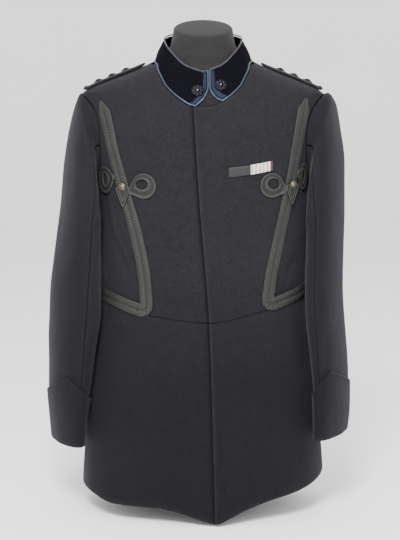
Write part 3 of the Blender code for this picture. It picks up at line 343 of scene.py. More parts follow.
def fold_shift(points, angle):
    """How far the folds push the cloth outwards at the given points."""
    shift = np.zeros(points.shape[:-1])
    on_front = np.cos(np.radians(angle)) > 0
    for face, x0, z0, x1, z1, width, depth in FOLDS:
        along = np.array([x1 - x0, z1 - z0])
        offset = np.stack([points[..., 0] - x0, points[..., 2] - z0], axis=-1)
        place, away = from_line(offset, along)
        taper = 0.35 + 0.65 * np.sin(np.pi * np.clip(place, 0.02, 0.98))
        here = on_front if face == "front" else ~on_front
        shift -= here * depth * taper * np.exp(-(away / width) ** 2)
    return shift


def front_angle(x, z):
    """Angle of the front's point at a given x and height."""
    x, z = np.broadcast_arrays(np.asarray(x, float), np.asarray(z, float))
    power = squareness_at(z)
    depth = front_at(z) * np.maximum(1 - (abs(x) / half_width_at(z)) ** power, 1e-9) ** (1 / power)
    return np.degrees(np.arctan2(x, depth))


def lap_lift(points):
    """Rise of the lapping front over the layer below it."""
    beyond = points[..., 0] - front_edge_at(points[..., 2]) - LAP_WIDTH - LAP_MARGIN
    return LAP_LIFT * (1 - smooth_step(beyond / LAP_FADE))


def facing(normal):
    """Directions across and up for a piece that faces along a normal."""
    across = unit(np.cross([0, 0, 1.0], normal))
    return across, np.cross(normal, across)


def seat_at(centre):
    """The body's normal at a point on it, with the directions across and up."""
    normal = body_normal(np.degrees(np.arctan2(centre[0], TORSO_Y - centre[1])), centre[2])
    return (normal, *facing(normal))


def spokes_round(count, across, upward):
    """Bearings round a circle, and its directions in the plane of two others."""
    bearing = 2 * np.pi * np.arange(count) / count
    return bearing, np.cos(bearing)[:, None] * across + np.sin(bearing)[:, None] * upward


def on_cloth(point, out=0.0, lapped=False):
    """The body's surface point nearest to a given point, by its angle and height."""
    point = np.asarray(point, float)
    angle = np.degrees(np.arctan2(point[..., 0], TORSO_Y - point[..., 1]))
    lift = lap_lift(point) if lapped else 0.0
    return cloth_point(angle, point[..., 2], out + lift, bridging=True)


def armhole(turn):
    """Angle and height of the right-hand armhole's line: 0 is its top, 90 its front, 180 its foot."""
    turn = np.radians(turn)
    return 90 - ARMHOLE_HALF_ANGLE * np.sin(turn), ARMHOLE_Z + ARMHOLE_HALF_HEIGHT * np.cos(turn)


def spaced(start, *stretches):
    """Values from a start through each stretch's end, with that stretch's count of steps."""
    values = [np.array([float(start)])]
    for end, steps in stretches:
        values.append(np.linspace(values[-1][-1], end, steps + 1)[1:])
    return np.concatenate(values)


def patch(left, right, bottom, top, columns, rows):
    """Angles and heights of a four-sided piece, filled in between its four edge lines."""
    u = columns[None, :, None]
    v = rows[:, None, None]
    sides = (1 - u) * left(rows)[:, None, :] + u * right(rows)[:, None, :]
    ends = (1 - v) * bottom(u[0, :, 0])[None] + v * top(u[0, :, 0])[None]
    corners = ((1 - u) * (1 - v) * left(rows[:1])[:, None] + u * (1 - v) * right(rows[:1])[:, None]
               + (1 - u) * v * left(rows[-1:])[:, None] + u * v * right(rows[-1:])[:, None])
    return sides + ends - corners


def ridge_height(x):
    """Height of the shoulder's ridge at a distance from the torso's middle."""
    heights = np.linspace(0.741, 0.820, 160)
    return np.interp(-np.asarray(x), -half_width_at(heights), heights)


def edge_x(side, z):
    """x of a front's own edge: the lapping front's, or that of the layer under it."""
    return front_edge_at(z) if side > 0 else front_edge_at(z) + LAP_WIDTH


def seam_angle(z):
    """Half of a seam's gap as an angle."""
    return np.degrees(SEAM_GAP / 2 / half_width_at(z))


def sleeve_ring(side, turn, row):
    """Point of a sleeve's outer surface: turn 0 is its outer side, 90 its front, 180 by the body."""
    table = LEFT_SLEEVE if side > 0 else RIGHT_SLEEVE
    numbered = [(number, *values) for number, values in enumerate(table)]
    turn, row = np.broadcast_arrays(np.asarray(turn, float), np.asarray(row, float))
    outer_x, outer_z, inner_x, inner_z, mid_y, half_depth, lean = (
        curve_through(numbered, 0, column)(row) for column in range(1, 8))
    cosine, sine = np.cos(np.radians(turn)), np.sin(np.radians(turn))
    x = (outer_x + inner_x) / 2 + (outer_x - inner_x) / 2 * cosine - lean * sine
    y = TORSO_Y + mid_y - half_depth * sine
    z = (outer_z + inner_z) / 2 + (outer_z - inner_z) / 2 * cosine
    return np.stack([x * side, y, z], axis=-1)


def sleeve_point(side, turn, row):
    """A sleeve's outer surface, its first ring set on the armhole's line."""
    turn, row = np.broadcast_arrays(np.asarray(turn, float), np.asarray(row, float))
    hole_angle, hole_z = armhole(turn)
    inward = 1 - ARMHOLE_GAP / ARMHOLE_HALF_HEIGHT
    hole_angle = (90 + (hole_angle - 90) * inward) * side
    hole_z = ARMHOLE_Z + (hole_z - ARMHOLE_Z) * inward
    seated = cloth_point(hole_angle, hole_z, ARMHOLE_STEP)
    share = smooth_step(row / 2.2)[..., None]
    return seated * (1 - share) + sleeve_ring(side, turn, row) * share


def sleeve_normal(side, turn, row):
    around = sleeve_point(side, turn + 1, row) - sleeve_point(side, turn - 1, row)
    along = sleeve_point(side, turn, row + 0.03) - sleeve_point(side, turn, row - 0.03)
    return unit(np.cross(around, along)) * side


def collar_base(angle):
    return cloth_point(angle, neckline_at(abs(angle)) + COLLAR_RISE, COLLAR_STEP)


def collar_top_point(angle):
    """Point of the collar's top edge."""
    sine, cosine = np.sin(np.radians(angle)), np.cos(np.radians(angle))
    depth = np.where(cosine > 0, COLLAR_TOP_FRONT, COLLAR_TOP_BACK)
    reach = ((abs(sine) / COLLAR_TOP_HALF_WIDTH) ** 2 + (abs(cosine) / depth) ** 2) ** -0.5
    return np.stack([reach * sine, TORSO_Y - reach * cosine, collar_top_at(abs(angle))], axis=-1)


def collar_point(angle, rise):
    """Point of the collar's outer surface at an angle and a distance up from its lower edge."""
    angle, rise = np.broadcast_arrays(np.asarray(angle, float), np.asarray(rise, float))
    top, base = collar_top_point(angle), collar_base(angle)
    share = rise / np.linalg.norm(top - base, axis=-1)
    bulge = COLLAR_BULGE * np.sin(np.pi * np.clip(share, 0, 1))
    turned = np.radians(angle)
    outward = np.stack([np.sin(turned), -np.cos(turned), np.zeros_like(turned)], axis=-1)
    return base + (top - base) * share[..., None] + outward * bulge[..., None]


def collar_share_point(angle, share, extra=0.0):
    """Point at a share of the collar's height, and a distance further up."""
    top = collar_full_height(angle)
    return collar_point(angle, share * top + extra)


def collar_full_height(angle):
    """Length of the collar's line from its lower edge to its top edge."""
    angle = np.asarray(angle, float)
    return np.linalg.norm(collar_top_point(angle) - collar_base(angle), axis=-1)


def collar_front_angle(side, rise, inset):
    """Angle of a line square to the collar's front edge, which rounds away from the meeting line."""
    low = np.clip(1 - rise / COLLAR_CORNER_HEIGHT, 0, 1)
    slope = 1.7 * COLLAR_CORNER / COLLAR_CORNER_HEIGHT * low ** 0.7
    x = COLLAR_MEETING_X + side * (inset * np.sqrt(1 + slope ** 2) + COLLAR_CORNER * low ** 1.7)
    reach = TORSO_Y - collar_point(np.degrees(x / 0.075), rise)[..., 1]
    return np.degrees(np.arctan2(x, reach))


def frame_on_cloth(middle, along):
    """Outward normals and directions across, for a line of points that lies on the cloth."""
    middle = np.asarray(middle, float)
    angle = np.degrees(np.arctan2(middle[..., 0], TORSO_Y - middle[..., 1]))
    normal = body_normal(angle, middle[..., 2])
    return normal, unit(np.cross(normal, along))


def shoulder_top(x, y):
    """Height of the body's surface over a point of the shoulder."""
    low, high = 0.70, 0.820
    for _ in range(30):
        z = (low + high) / 2
        depth = front_at(z) if y < TORSO_Y else back_at(z)
        power = squareness_at(z)
        filled = (abs(x) / half_width_at(z)) ** power + (abs(y - TORSO_Y) / depth) ** power
        if filled < 1:
            low = z
        else:
            high = z
    return low


def strap_half_width(x):
    share = (x - STRAP_IN_X) / (STRAP_OUT_X - STRAP_IN_X)
    width = STRAP_HALF_WIDTH_IN + share * (STRAP_HALF_WIDTH_OUT - STRAP_HALF_WIDTH_IN)
    rounding = math.sqrt(max(1 - max(1 - share / 0.12, 0) ** 2, 0.05))
    return width * rounding


# Finer creases of the body, each an uneven trough or, where depth is negative, a ridge
# Columns: face, x0, z0, x1, z1, width, depth
CREASES = (
    ("front", -0.178, 0.560, -0.160, 0.500, 0.0055, 0.0018),
    ("front", -0.150, 0.520, -0.118, 0.452, 0.0090, -0.0020),
    ("front", -0.168, 0.470, -0.140, 0.405, 0.0080, 0.0020),
    ("front", 0.160, 0.462, 0.138, 0.400, 0.0050, 0.0022),
    ("front", 0.172, 0.450, 0.150, 0.398, 0.0060, -0.0016),
    ("front", 0.128, 0.430, 0.118, 0.392, 0.0090, 0.0020),
    ("front", -0.118, 0.338, -0.112, 0.285, 0.0120, 0.0016),
    ("front", 0.060, 0.700, 0.120, 0.655, 0.0220, -0.0010),
    ("front", -0.060, 0.700, -0.120, 0.655, 0.0220, -0.0010),
    ("front", 0.176, 0.615, 0.184, 0.560, 0.0080, 0.0016),
    ("front", -0.176, 0.640, -0.184, 0.580, 0.0080, 0.0016),
    ("front", -0.186, 0.430, -0.160, 0.400, 0.0080, 0.0018),
    ("front", -0.070, 0.300, -0.085, 0.120, 0.0300, -0.0014),
    ("front", 0.105, 0.300, 0.125, 0.110, 0.0300, -0.0014),
    ("front", 0.150, 0.250, 0.160, 0.090, 0.0200, 0.0014),
    ("front", -0.160, 0.250, -0.172, 0.090, 0.0200, 0.0014),
    ("back", 0.030, 0.700, 0.110, 0.690, 0.0220, -0.0014),
    ("back", -0.030, 0.700, -0.110, 0.690, 0.0220, -0.0014),
    ("back", 0.176, 0.620, 0.150, 0.540, 0.0120, 0.0024),
    ("back", -0.176, 0.620, -0.150, 0.540, 0.0120, 0.0024),
    ("back", 0.090, 0.500, 0.040, 0.440, 0.0130, 0.0018),
    ("back", -0.100, 0.490, -0.050, 0.445, 0.0130, 0.0018),
    ("back", 0.130, 0.330, 0.150, 0.110, 0.0180, 0.0020),
    ("back", -0.130, 0.330, -0.150, 0.110, 0.0180, 0.0020),
)
# Creases of the sleeves, by turn in degrees and row, widths in metres
# Columns: side, turn0, row0, turn1, row1, width, depth
SLEEVE_CREASES = (
    (-1, 130, 4.2, 80, 5.3, 0.0100, 0.0026),
    (-1, 140, 5.2, 85, 6.0, 0.0090, 0.0028),
    (-1, 150, 6.3, 95, 6.5, 0.0100, 0.0022),
    (-1, 70, 5.6, 35, 6.6, 0.0120, -0.0016),
    (-1, 45, 2.4, 60, 4.2, 0.0140, 0.0016),
    (-1, 20, 1.0, 60, 1.9, 0.0110, 0.0014),
    (-1, 80, 7.4, 60, 9.0, 0.0140, 0.0014),
    (1, 140, 4.4, 90, 5.1, 0.0100, 0.0028),
    (1, 150, 5.4, 85, 6.1, 0.0090, 0.0030),
    (1, 60, 3.0, 75, 4.4, 0.0130, 0.0016),
    (1, 95, 6.6, 60, 7.2, 0.0110, 0.0022),
    (1, 30, 1.0, 65, 2.0, 0.0110, 0.0014),
    (1, 50, 7.6, 70, 8.8, 0.0130, 0.0014),
    (-1, 230, 5.0, 280, 5.8, 0.0110, 0.0030),
    (-1, 225, 6.0, 285, 6.3, 0.0100, 0.0026),
    (1, 230, 5.0, 280, 5.8, 0.0110, 0.0030),
    (1, 225, 6.0, 285, 6.3, 0.0100, 0.0026),
    (-1, 290, 2.0, 300, 4.0, 0.0150, 0.0018),
    (1, 290, 2.0, 300, 4.0, 0.0150, 0.0018),
)
SLEEVE_TURN_LENGTH = 0.00108
SLEEVE_ROW_LENGTH = 0.056

# Closeness to a piece's edge in metres, and how much of its thickness it has there
EDGE_STEPS = np.array((0.0, 0.0006, 0.0015, 0.0028))
EDGE_FULLNESS = np.array((0.30, 0.72, 0.94, 1.0))


def make_waves(seed, count, shortest, longest):
    """Directions, wavelengths and phases of a smooth, repeatable unevenness."""
    random = np.random.default_rng(seed)
    directions = unit(random.normal(size=(count, 3)) * np.array([1.0, 1.0, 0.6]))
    lengths = shortest * (longest / shortest) ** random.random(count)
    return directions * (2 * np.pi / lengths)[:, None], random.random(count) * 2 * np.pi


BROAD_WAVES = make_waves(7, 26, 0.055, 0.190)
SMALL_WAVES = make_waves(11, 22, 0.018, 0.045)


def waviness(points, waves):
    """Sum of a set of waves at some points, mostly between -1 and 1."""
    speeds, phases = waves
    return np.sin(points @ speeds.T + phases).sum(axis=-1) / math.sqrt(len(phases) / 2) / 2


def uneven(points):
    """Slight unevenness of hanging wool cloth."""
    return 0.00075 * waviness(points, BROAD_WAVES) + 0.00016 * waviness(points, SMALL_WAVES)


def crease_shift(points, angle):
    """How far the finer creases and the cloth's unevenness push it outwards."""
    shift = uneven(points)
    on_front = np.cos(np.radians(angle)) > 0
    for number, (face, x0, z0, x1, z1, width, depth) in enumerate(CREASES):
        along = np.array([x1 - x0, z1 - z0])
        length = math.hypot(*along)
        offset = np.stack([points[..., 0] - x0, points[..., 2] - z0], axis=-1)
        place, away = from_line(offset, along)
        bow = 0.25 * width * np.sin(3.1 * place * length / 0.05 + number)
        taper = np.sin(np.pi * np.clip(place, 0.04, 0.96)) ** 0.7
        here = on_front if face == "front" else ~on_front
        shift = shift - here * depth * taper * np.exp(-((away + bow) / width) ** 2)
    return shift


def cloth_point(angle, z, out=0.0, bridging=False):
    """Point of the tunic's body with all its folds, moved out along the surface's normal."""
    angle, z = np.broadcast_arrays(np.asarray(angle, float), np.asarray(z, float))
    points = plain_body(angle, z)
    shift = fold_shift(points, angle) + crease_shift(points, angle)
    if bridging:
        shift = np.maximum(shift, 0) * 0.5 + np.maximum(shift, -0.0004) * 0.5
    return points + body_normal(angle, z) * (out + shift)[..., None]


def sleeve_shift(side, turn, row, points):
    """How far a sleeve's creases push its cloth outwards."""
    shift = uneven(points)
    for own_side, turn0, row0, turn1, row1, width, depth in SLEEVE_CREASES:
        if own_side != side:
            continue
        along = np.array([(turn1 - turn0) * SLEEVE_TURN_LENGTH, (row1 - row0) * SLEEVE_ROW_LENGTH])
        turned = (turn - turn0 + 180) % 360 - 180
        offset = np.stack([turned * SLEEVE_TURN_LENGTH, (row - row0) * SLEEVE_ROW_LENGTH], axis=-1)
        place, away = from_line(offset, along)
        taper = np.sin(np.pi * np.clip(place, 0.05, 0.95)) ** 0.7
        shift = shift - depth * taper * np.exp(-(away / width) ** 2)
    return shift * smooth_step(row / 1.0)


def edged(count, length):
    """Shares of a length, closely spaced by both its ends for the rounded edges."""
    near = EDGE_STEPS / length
    return np.concatenate([near, np.linspace(near[-1], 1 - near[-1], count)[1:-1], 1 - near[::-1]])


def edged_spaced(length, *stretches):
    """Shares like edged, with a line at each stretch's end."""
    near = EDGE_STEPS / length
    inner = spaced(0, *stretches)
    inner = inner[(inner > near[-1] * 1.4) & (inner < 1 - near[-1] * 1.4)]
    return np.concatenate([near, inner, 1 - near[::-1]])


def fullness(count, first=True, last=True):
    """Share of the full thickness along a row of points whose ends are rounded."""
    share = np.ones(count)
    if first:
        share[:4] = EDGE_FULLNESS
    if last:
        share[-4:] = EDGE_FULLNESS[::-1]
    return share


def edge_fullness(rows, columns, closed=False):
    across = np.ones(columns) if closed else fullness(columns)
    return np.minimum(fullness(rows)[:, None], across[None, :])


def wall_mesh(name, outer, inner, closed=False):
    """One closed mesh between an outer and an inner grid of points."""
    rows, columns = outer.shape[:2]
    half = rows * columns
    index = np.arange(half).reshape(rows, columns)
    here, beside = (index, np.roll(index, -1, axis=1)) if closed else (index[:, :-1], index[:, 1:])
    top = np.stack([here[:-1], beside[:-1], beside[1:], here[1:]], axis=-1).reshape(-1, 4)
    faces = [top, top[:, ::-1] + half]
    for row in (0, rows - 1):
        faces.append(np.stack([here[row], beside[row], beside[row] + half, here[row] + half], axis=-1))
    if not closed:
        for column in (0, columns - 1):
            lower, upper = index[:-1, column], index[1:, column]
            faces.append(np.stack([lower, upper, upper + half, lower + half], axis=-1))
    points = np.concatenate([outer.reshape(-1, 3), inner.reshape(-1, 3)])
    return mesh_from(name, points, np.concatenate(faces))


def mesh_from(name, points, faces):
    """A smooth-shaded mesh with its faces turned outwards."""
    mesh = bpy.data.meshes.new(name)
    mesh.from_pydata(np.asarray(points).tolist(), [], [list(map(int, face)) for face in faces])
    shape = bmesh.new()
    shape.from_mesh(mesh)
    bmesh.ops.recalc_face_normals(shape, faces=shape.faces)
    shape.to_mesh(mesh)
    shape.free()
    mesh.shade_smooth()
    return mesh


def set_values(mesh, name, values):
    """Give each vertex one number that a material reads."""
    layer = mesh.attributes.new(name, "FLOAT", "POINT")
    layer.data.foreach_set("value", np.asarray(values, float).ravel())


def add_piece(name, mesh, material, nodes=()):
    """A visible piece that rides on the one body and stands for CAD nodes."""
    mesh.materials.append(material)
    item = bpy.data.objects.new(name, mesh)
    collection.objects.link(item)
    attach(item, "root")
    if nodes:
        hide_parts(*nodes)
    return item


def cloth_piece(name, node, middle, normal, thickness, material, closed=False, worn=None):
    """A sheet of cloth with rounded edges round its middle surface."""
    full = edge_fullness(*middle.shape[:2], closed)
    reach = normal * (thickness / 2 * full)[..., None]
    outer, inner = middle + reach, middle - reach
    mesh = wall_mesh(name, outer, inner, closed)
    # The edge value is read by the wool, which paints shade along the rounded edges.
    edge = 1 - full
    set_values(mesh, "edge", np.stack([edge, edge]))
    # Lighter where worn; on the lapping front's edge this also paints a highlight.
    wear_and_highlight = np.zeros_like(edge) if worn is None else worn
    set_values(mesh, "wear_and_highlight", np.stack([wear_and_highlight, wear_and_highlight * 0]))
    item = add_piece(name, mesh, material, [node])
    return item


def body_piece(name, node, grid, side, lapped, worn=None):
    """A piece of the tunic's body from its angles and heights."""
    if side < 0:
        grid = grid[:, ::-1]
        worn = None if worn is None else worn[:, ::-1]
    angle, z = grid[..., 0], grid[..., 1]
    lift = lap_lift(plain_body(angle, z)) if lapped else 0.0
    middle = cloth_point(angle, z, lift - CLOTH / 2)
    item = cloth_piece(name, node, middle, body_normal(angle, z), CLOTH, wool, worn=worn)
    if node in ("front_right", "skirt_front_right"):
        under_lap = np.exp(-(np.minimum(middle[..., 0] - front_edge_at(z), 0) / 0.0042) ** 2)
        set_values(item.data, "shade", np.stack([under_lap, under_lap]))
    return item


def worn_edge_and_highlight(columns, rows, width, height, side_share=1.0, foot_share=0.0):
    """Wear on a piece's first column and first row, fading inwards; on a lapping front's edge it also paints
    a highlight.
    """
    across = np.exp(-(columns * width / 0.004) ** 2)[None, :] * side_share
    upward = np.exp(-(rows * height / 0.005) ** 2)[:, None] * foot_share
    return np.maximum(across, upward) * np.ones((len(rows), len(columns)))


def make_front(word, side):
    """A front from its edge and neckline round to the side seam and armhole."""
    edge_share, seam_share = 0.68, 0.42
    neck_start = float(front_angle(edge_x(side, 0.717), 0.717)) * side

    def left(v):
        on_edge = np.clip(v / edge_share, 0, 1)
        foot = waist_at(float(front_angle(edge_x(side, 0.35), 0.35)))
        z_edge = foot + SEAM_GAP / 2 + on_edge * (neckline_at(abs(neck_start)) - foot - SEAM_GAP / 2)
        on_neck = np.clip((v - edge_share) / (1 - edge_share), 0, 1)
        neck_angle = neck_start + on_neck * (90 - neck_start)
        angle = np.where(v < edge_share, front_angle(edge_x(side, z_edge), z_edge) * side, neck_angle)
        z = np.where(v < edge_share, z_edge, neckline_at(abs(neck_angle)))
        return np.stack([angle - (v >= edge_share) * on_neck * seam_angle(z), z], axis=-1)

    def right(v):
        on_seam = np.clip(v / seam_share, 0, 1)
        turn = 180 * (1 - np.clip((v - seam_share) / (1 - seam_share), 0, 1))
        hole_angle, hole_z = armhole(turn)
        foot = waist_at(90.0 * side) + SEAM_GAP / 2
        z = np.where(v < seam_share, foot + on_seam * (ARMHOLE_Z - ARMHOLE_HALF_HEIGHT - foot), hole_z)
        angle = np.where(v < seam_share, 90.0, hole_angle)
        return np.stack([angle - seam_angle(z), z], axis=-1)

    def bottom(u):
        start, stop = left(np.zeros(1))[0, 0], right(np.zeros(1))[0, 0]
        angle = start + u * (stop - start)
        return np.stack([angle, waist_at(angle * side) + SEAM_GAP / 2], axis=-1)

    def top(u):
        reach = RIDGE_NECK_X + u * (RIDGE_SHOULDER_X - RIDGE_NECK_X)
        z = ridge_height(reach)
        z[0], z[-1] = left(np.ones(1))[0, 1], right(np.ones(1))[0, 1]
        return np.stack([90 - seam_angle(z), z], axis=-1)

    rows = edged_spaced(0.42, (seam_share, 42), (edge_share, 28), (0.86, 18), (1, 16))
    columns = edged_spaced(0.21, (0.34, 26), (1, 40))
    grid = patch(left, right, bottom, top, columns, rows)
    grid[..., 0] *= side
    # The lapping front's edge is lighter: partly wear, partly a painted highlight.
    worn = worn_edge_and_highlight(columns, rows, 0.21, 0.42) if side > 0 else None
    return body_piece("cloth_front_" + word, "front_" + word, grid, side, side > 0,
                      worn)


def make_back(word, side):
    """A back from the side seam and armhole round to the centre back seam."""
    seam_share, edge_share = 0.42, 0.86

    def left(v):
        on_seam = np.clip(v / seam_share, 0, 1)
        turn = 180 + 180 * np.clip((v - seam_share) / (1 - seam_share), 0, 1)
        hole_angle, hole_z = armhole(turn)
        foot = waist_at(90.0 * side) + SEAM_GAP / 2
        z = np.where(v < seam_share, foot + on_seam * (ARMHOLE_Z - ARMHOLE_HALF_HEIGHT - foot), hole_z)
        angle = np.where(v < seam_share, 90.0, hole_angle)
        return np.stack([angle + seam_angle(z), z], axis=-1)

    def right(v):
        on_edge = np.clip(v / edge_share, 0, 1)
        foot = waist_at(180.0 * side) + SEAM_GAP / 2
        z_edge = foot + on_edge * (neckline_at(180.0) - foot)
        on_neck = np.clip((v - edge_share) / (1 - edge_share), 0, 1)
        neck_angle = 180 - 90 * on_neck
        z = np.where(v < edge_share, z_edge, neckline_at(neck_angle))
        angle = np.where(v < edge_share, 180.0, neck_angle)
        return np.stack([angle - (1 - 2 * on_neck) * seam_angle(z), z], axis=-1)

    def bottom(u):
        angle = 90 + seam_angle(0.39) + u * (90 - 2 * seam_angle(0.39))
        return np.stack([angle, waist_at(angle * side) + SEAM_GAP / 2], axis=-1)

    def top(u):
        reach = RIDGE_SHOULDER_X - u * (RIDGE_SHOULDER_X - RIDGE_NECK_X)
        z = ridge_height(reach)
        z[0], z[-1] = left(np.ones(1))[0, 1], right(np.ones(1))[0, 1]
        return np.stack([90 + seam_angle(z), z], axis=-1)

    rows = edged_spaced(0.42, (seam_share, 42), (edge_share, 44), (1, 18))
    grid = patch(left, right, bottom, top, edged(62, 0.24), rows)
    grid[..., 0] *= side
    return body_piece("cloth_back_" + word, "back_" + word, grid, side, False)


def make_skirt(word, side, face):
    """A skirt piece between the waist seam and the hem."""
    rows = edged(74, 0.33)[:, None]
    columns = edged_spaced(0.26, (0.30, 24), (1, 44)) if face == "front" else edged(62, 0.26)
    if face == "front":
        start_z = hem_at(8.0) + rows * (waist_at(5.0) - hem_at(8.0))
        start = front_angle(edge_x(side, start_z), start_z) * side
        stop = 90 - SIDE_SEAM_SHARE * seam_angle(0.2)
    else:
        start = np.full_like(rows, 90 + SIDE_SEAM_SHARE * seam_angle(0.2))
        stop = 180 - seam_angle(0.2)
    angle = start + columns[None, :] * (stop - start)
    hem = hem_at(angle * side)
    z = hem + rows * (waist_at(angle * side) - SEAM_GAP / 2 - hem)
    grid = np.stack([angle * side, z], axis=-1)
    lapped = face == "front" and side > 0
    # Lighter at the hem from wear; on the lapping skirt's front edge the lighter band is partly a painted
    # highlight.
    worn = worn_edge_and_highlight(columns, rows[:, 0], 0.26, 0.33, 1.0 if lapped else 0.0, 0.7)
    return body_piece(f"cloth_skirt_{face}_{word}", f"skirt_{face}_{word}", grid, side,
                      lapped, worn)


def fine_sleeve(side, turn, row, out=0.0):
    """Point of a sleeve with its creases, moved out along the surface's normal."""
    turn, row = np.broadcast_arrays(np.asarray(turn, float), np.asarray(row, float))
    points, normal = sleeve_point(side, turn, row), sleeve_normal(side, turn, row)
    shift = sleeve_shift(side, turn, row, points)
    return points + normal * (shift + out)[..., None], normal


def make_sleeve(word, side, half, start, stop):
    """A half sleeve between its front and back seams."""
    gap = SLEEVE_SEAM_ANGLE
    turns = start + gap + edged(46, 0.19)[None, :] * (stop - start - 2 * gap)
    rows = LAST_SLEEVE_ROW * edged(118, 0.62)[:, None]
    turns, rows = np.broadcast_arrays(turns, rows)
    middle, normal = fine_sleeve(side, turns, rows, -CLOTH / 2)
    return cloth_piece(f"cloth_{half}_sleeve_{word}", f"{half}_sleeve_{word}", middle, normal, CLOTH, wool)


def cuff_top(turns):
    from_point = np.abs((turns - CUFF_POINT_ANGLE + 180) % 360 - 180)
    return CUFF_TOP_ROW - CUFF_POINT_ROWS * np.clip(1 - from_point / CUFF_POINT_SPREAD, 0, 1)


def make_cuff(word, side):
    """A pointed cuff that lies on the sleeve."""
    turns = np.linspace(-90, 270, 120, endpoint=False)[None, :]
    top = cuff_top(turns)
    share = edged(22, 0.10)[:, None]
    rows = top + share * (LAST_SLEEVE_ROW - top)
    turns, rows = np.broadcast_arrays(turns, rows)
    middle, normal = fine_sleeve(side, turns, rows, CUFF_GAP + CLOTH / 2)
    worn = np.exp(-((1 - share) * 0.10 / 0.004) ** 2) * 0.9 + np.exp(-(share * 0.10 / 0.003) ** 2) * 0.4
    worn = np.broadcast_to(worn, turns.shape)
    return cloth_piece("cloth_cuff_" + word, "cuff_" + word, middle, normal, CLOTH, wool,
                       True, worn)


def make_collar(word, side):
    """Half of the stand collar: velvet set back from a silk facing strip at its front."""
    inset = MEETING_GAP + 2 * PIPING_RADIUS + PIPING_GAP
    share = edged(20, 0.06)[:, None]
    across = edged_spaced(0.20, (0.05, 10), (0.09, 14), (1, 70))[None, :]
    start = collar_front_angle(side, share * COLLAR_FRONT_HEIGHT, inset)
    stop = side * (180 - COLLAR_BACK_GAP)
    angle = start + across * (stop - start)
    share = np.broadcast_to(share, angle.shape)
    if side < 0:
        angle, share = angle[:, ::-1], share[:, ::-1]
    surface = collar_share_point(angle, share)
    around = collar_share_point(angle + 0.5, share) - collar_share_point(angle - 0.5, share)
    upward = collar_share_point(angle, share + 0.02) - collar_share_point(angle, share - 0.02)
    normal = unit(np.cross(around, upward))
    from_front = abs(angle - start) * 0.00131
    pile = smooth_step((from_front - SILK_WIDTH) / 0.0012)
    full = edge_fullness(*angle.shape)
    middle = surface - normal * COLLAR_WALL / 2
    nap = 0.00022 * waviness(surface * 2.2, SMALL_WAVES)
    reach = COLLAR_WALL / 2 * full
    outer = middle + normal * (reach - 0.0007 * (1 - pile) + nap * pile)[..., None]
    mesh = wall_mesh("velvet_collar_" + word, outer, middle - normal * reach[..., None])
    set_values(mesh, "silk", np.stack([1 - pile, np.zeros_like(pile)]))
    set_values(mesh, "edge", np.stack([1 - full, 1 - full]))
    item = add_piece("velvet_collar_" + word, mesh, velvet, ["collar_" + word])
    return item


def tube_points(path, radius, sides):
    """Rings of a round tube along a line of points."""
    along = unit(np.gradient(path, axis=0))
    helper = np.tile(np.array([0.0, 0.0, 1.0]), (len(path), 1))
    helper[abs(along[:, 2]) > 0.8] = (0.0, -1.0, 0.0)
    first = unit(np.cross(along, helper))
    for spot in range(1, len(path)):
        carried = first[spot - 1] - along[spot] * (first[spot - 1] @ along[spot])
        first[spot] = unit(carried)
    second = np.cross(along, first)
    bearing = 2 * np.pi * np.arange(sides) / sides
    cosine, sine = np.cos(bearing)[None, :, None], np.sin(bearing)[None, :, None]
    spokes = cosine * first[:, None] + sine * second[:, None]
    return path[:, None] + spokes * np.broadcast_to(np.asarray(radius, float), len(path))[:, None, None]


def loft_mesh(name, rings, closed=False):
    """A closed mesh through rings of equal point count, its ends capped or joined."""
    rings = np.asarray(rings)
    count, sides = rings.shape[:2]
    index = np.arange(count * sides).reshape(count, sides)
    beside = np.roll(index, -1, axis=1)
    following, beyond = np.roll(index, -1, axis=0), np.roll(beside, -1, axis=0)
    last = count if closed else count - 1
    faces = np.stack([index, beside, beyond, following], axis=-1)[:last].reshape(-1, 4).tolist()
    if not closed:
        faces += [index[0].tolist(), index[-1].tolist()]
    return mesh_from(name, rings.reshape(-1, 3), faces)


def refine(points, count):
    """A smooth line through points, resampled at even steps."""
    points = np.asarray(points, float)
    reach = np.concatenate([[0], np.cumsum(np.linalg.norm(np.diff(points, axis=0), axis=-1))])
    rows = [(distance, *point) for distance, point in zip(reach, points)]
    wanted = np.linspace(0, reach[-1], count)
    return np.stack([curve_through(rows, 0, axis)(wanted) for axis in (1, 2, 3)], axis=-1)


def make_neck_facing():
    """The lapping front's cloth that shows between the collar's two corners."""
    angle = np.linspace(-17, 24, 40)[None, :]
    rise = np.linspace(-0.0030, 0.030, 24)[:, None]
    angle, rise = np.broadcast_arrays(angle, rise)
    surface = collar_point(angle, rise)
    around = collar_point(angle + 0.5, rise) - collar_point(angle - 0.5, rise)
    normal = unit(np.cross(around, collar_point(angle, rise + 0.002) - collar_point(angle, rise - 0.002)))
    middle = surface - normal * (COLLAR_WALL + 0.0016)
    full = edge_fullness(*angle.shape)
    reach = normal * (CLOTH / 2 * full)[..., None]
    mesh = wall_mesh("cloth_neck_facing", middle + reach, middle - reach)
    item = add_piece("cloth_neck_facing", mesh, wool)


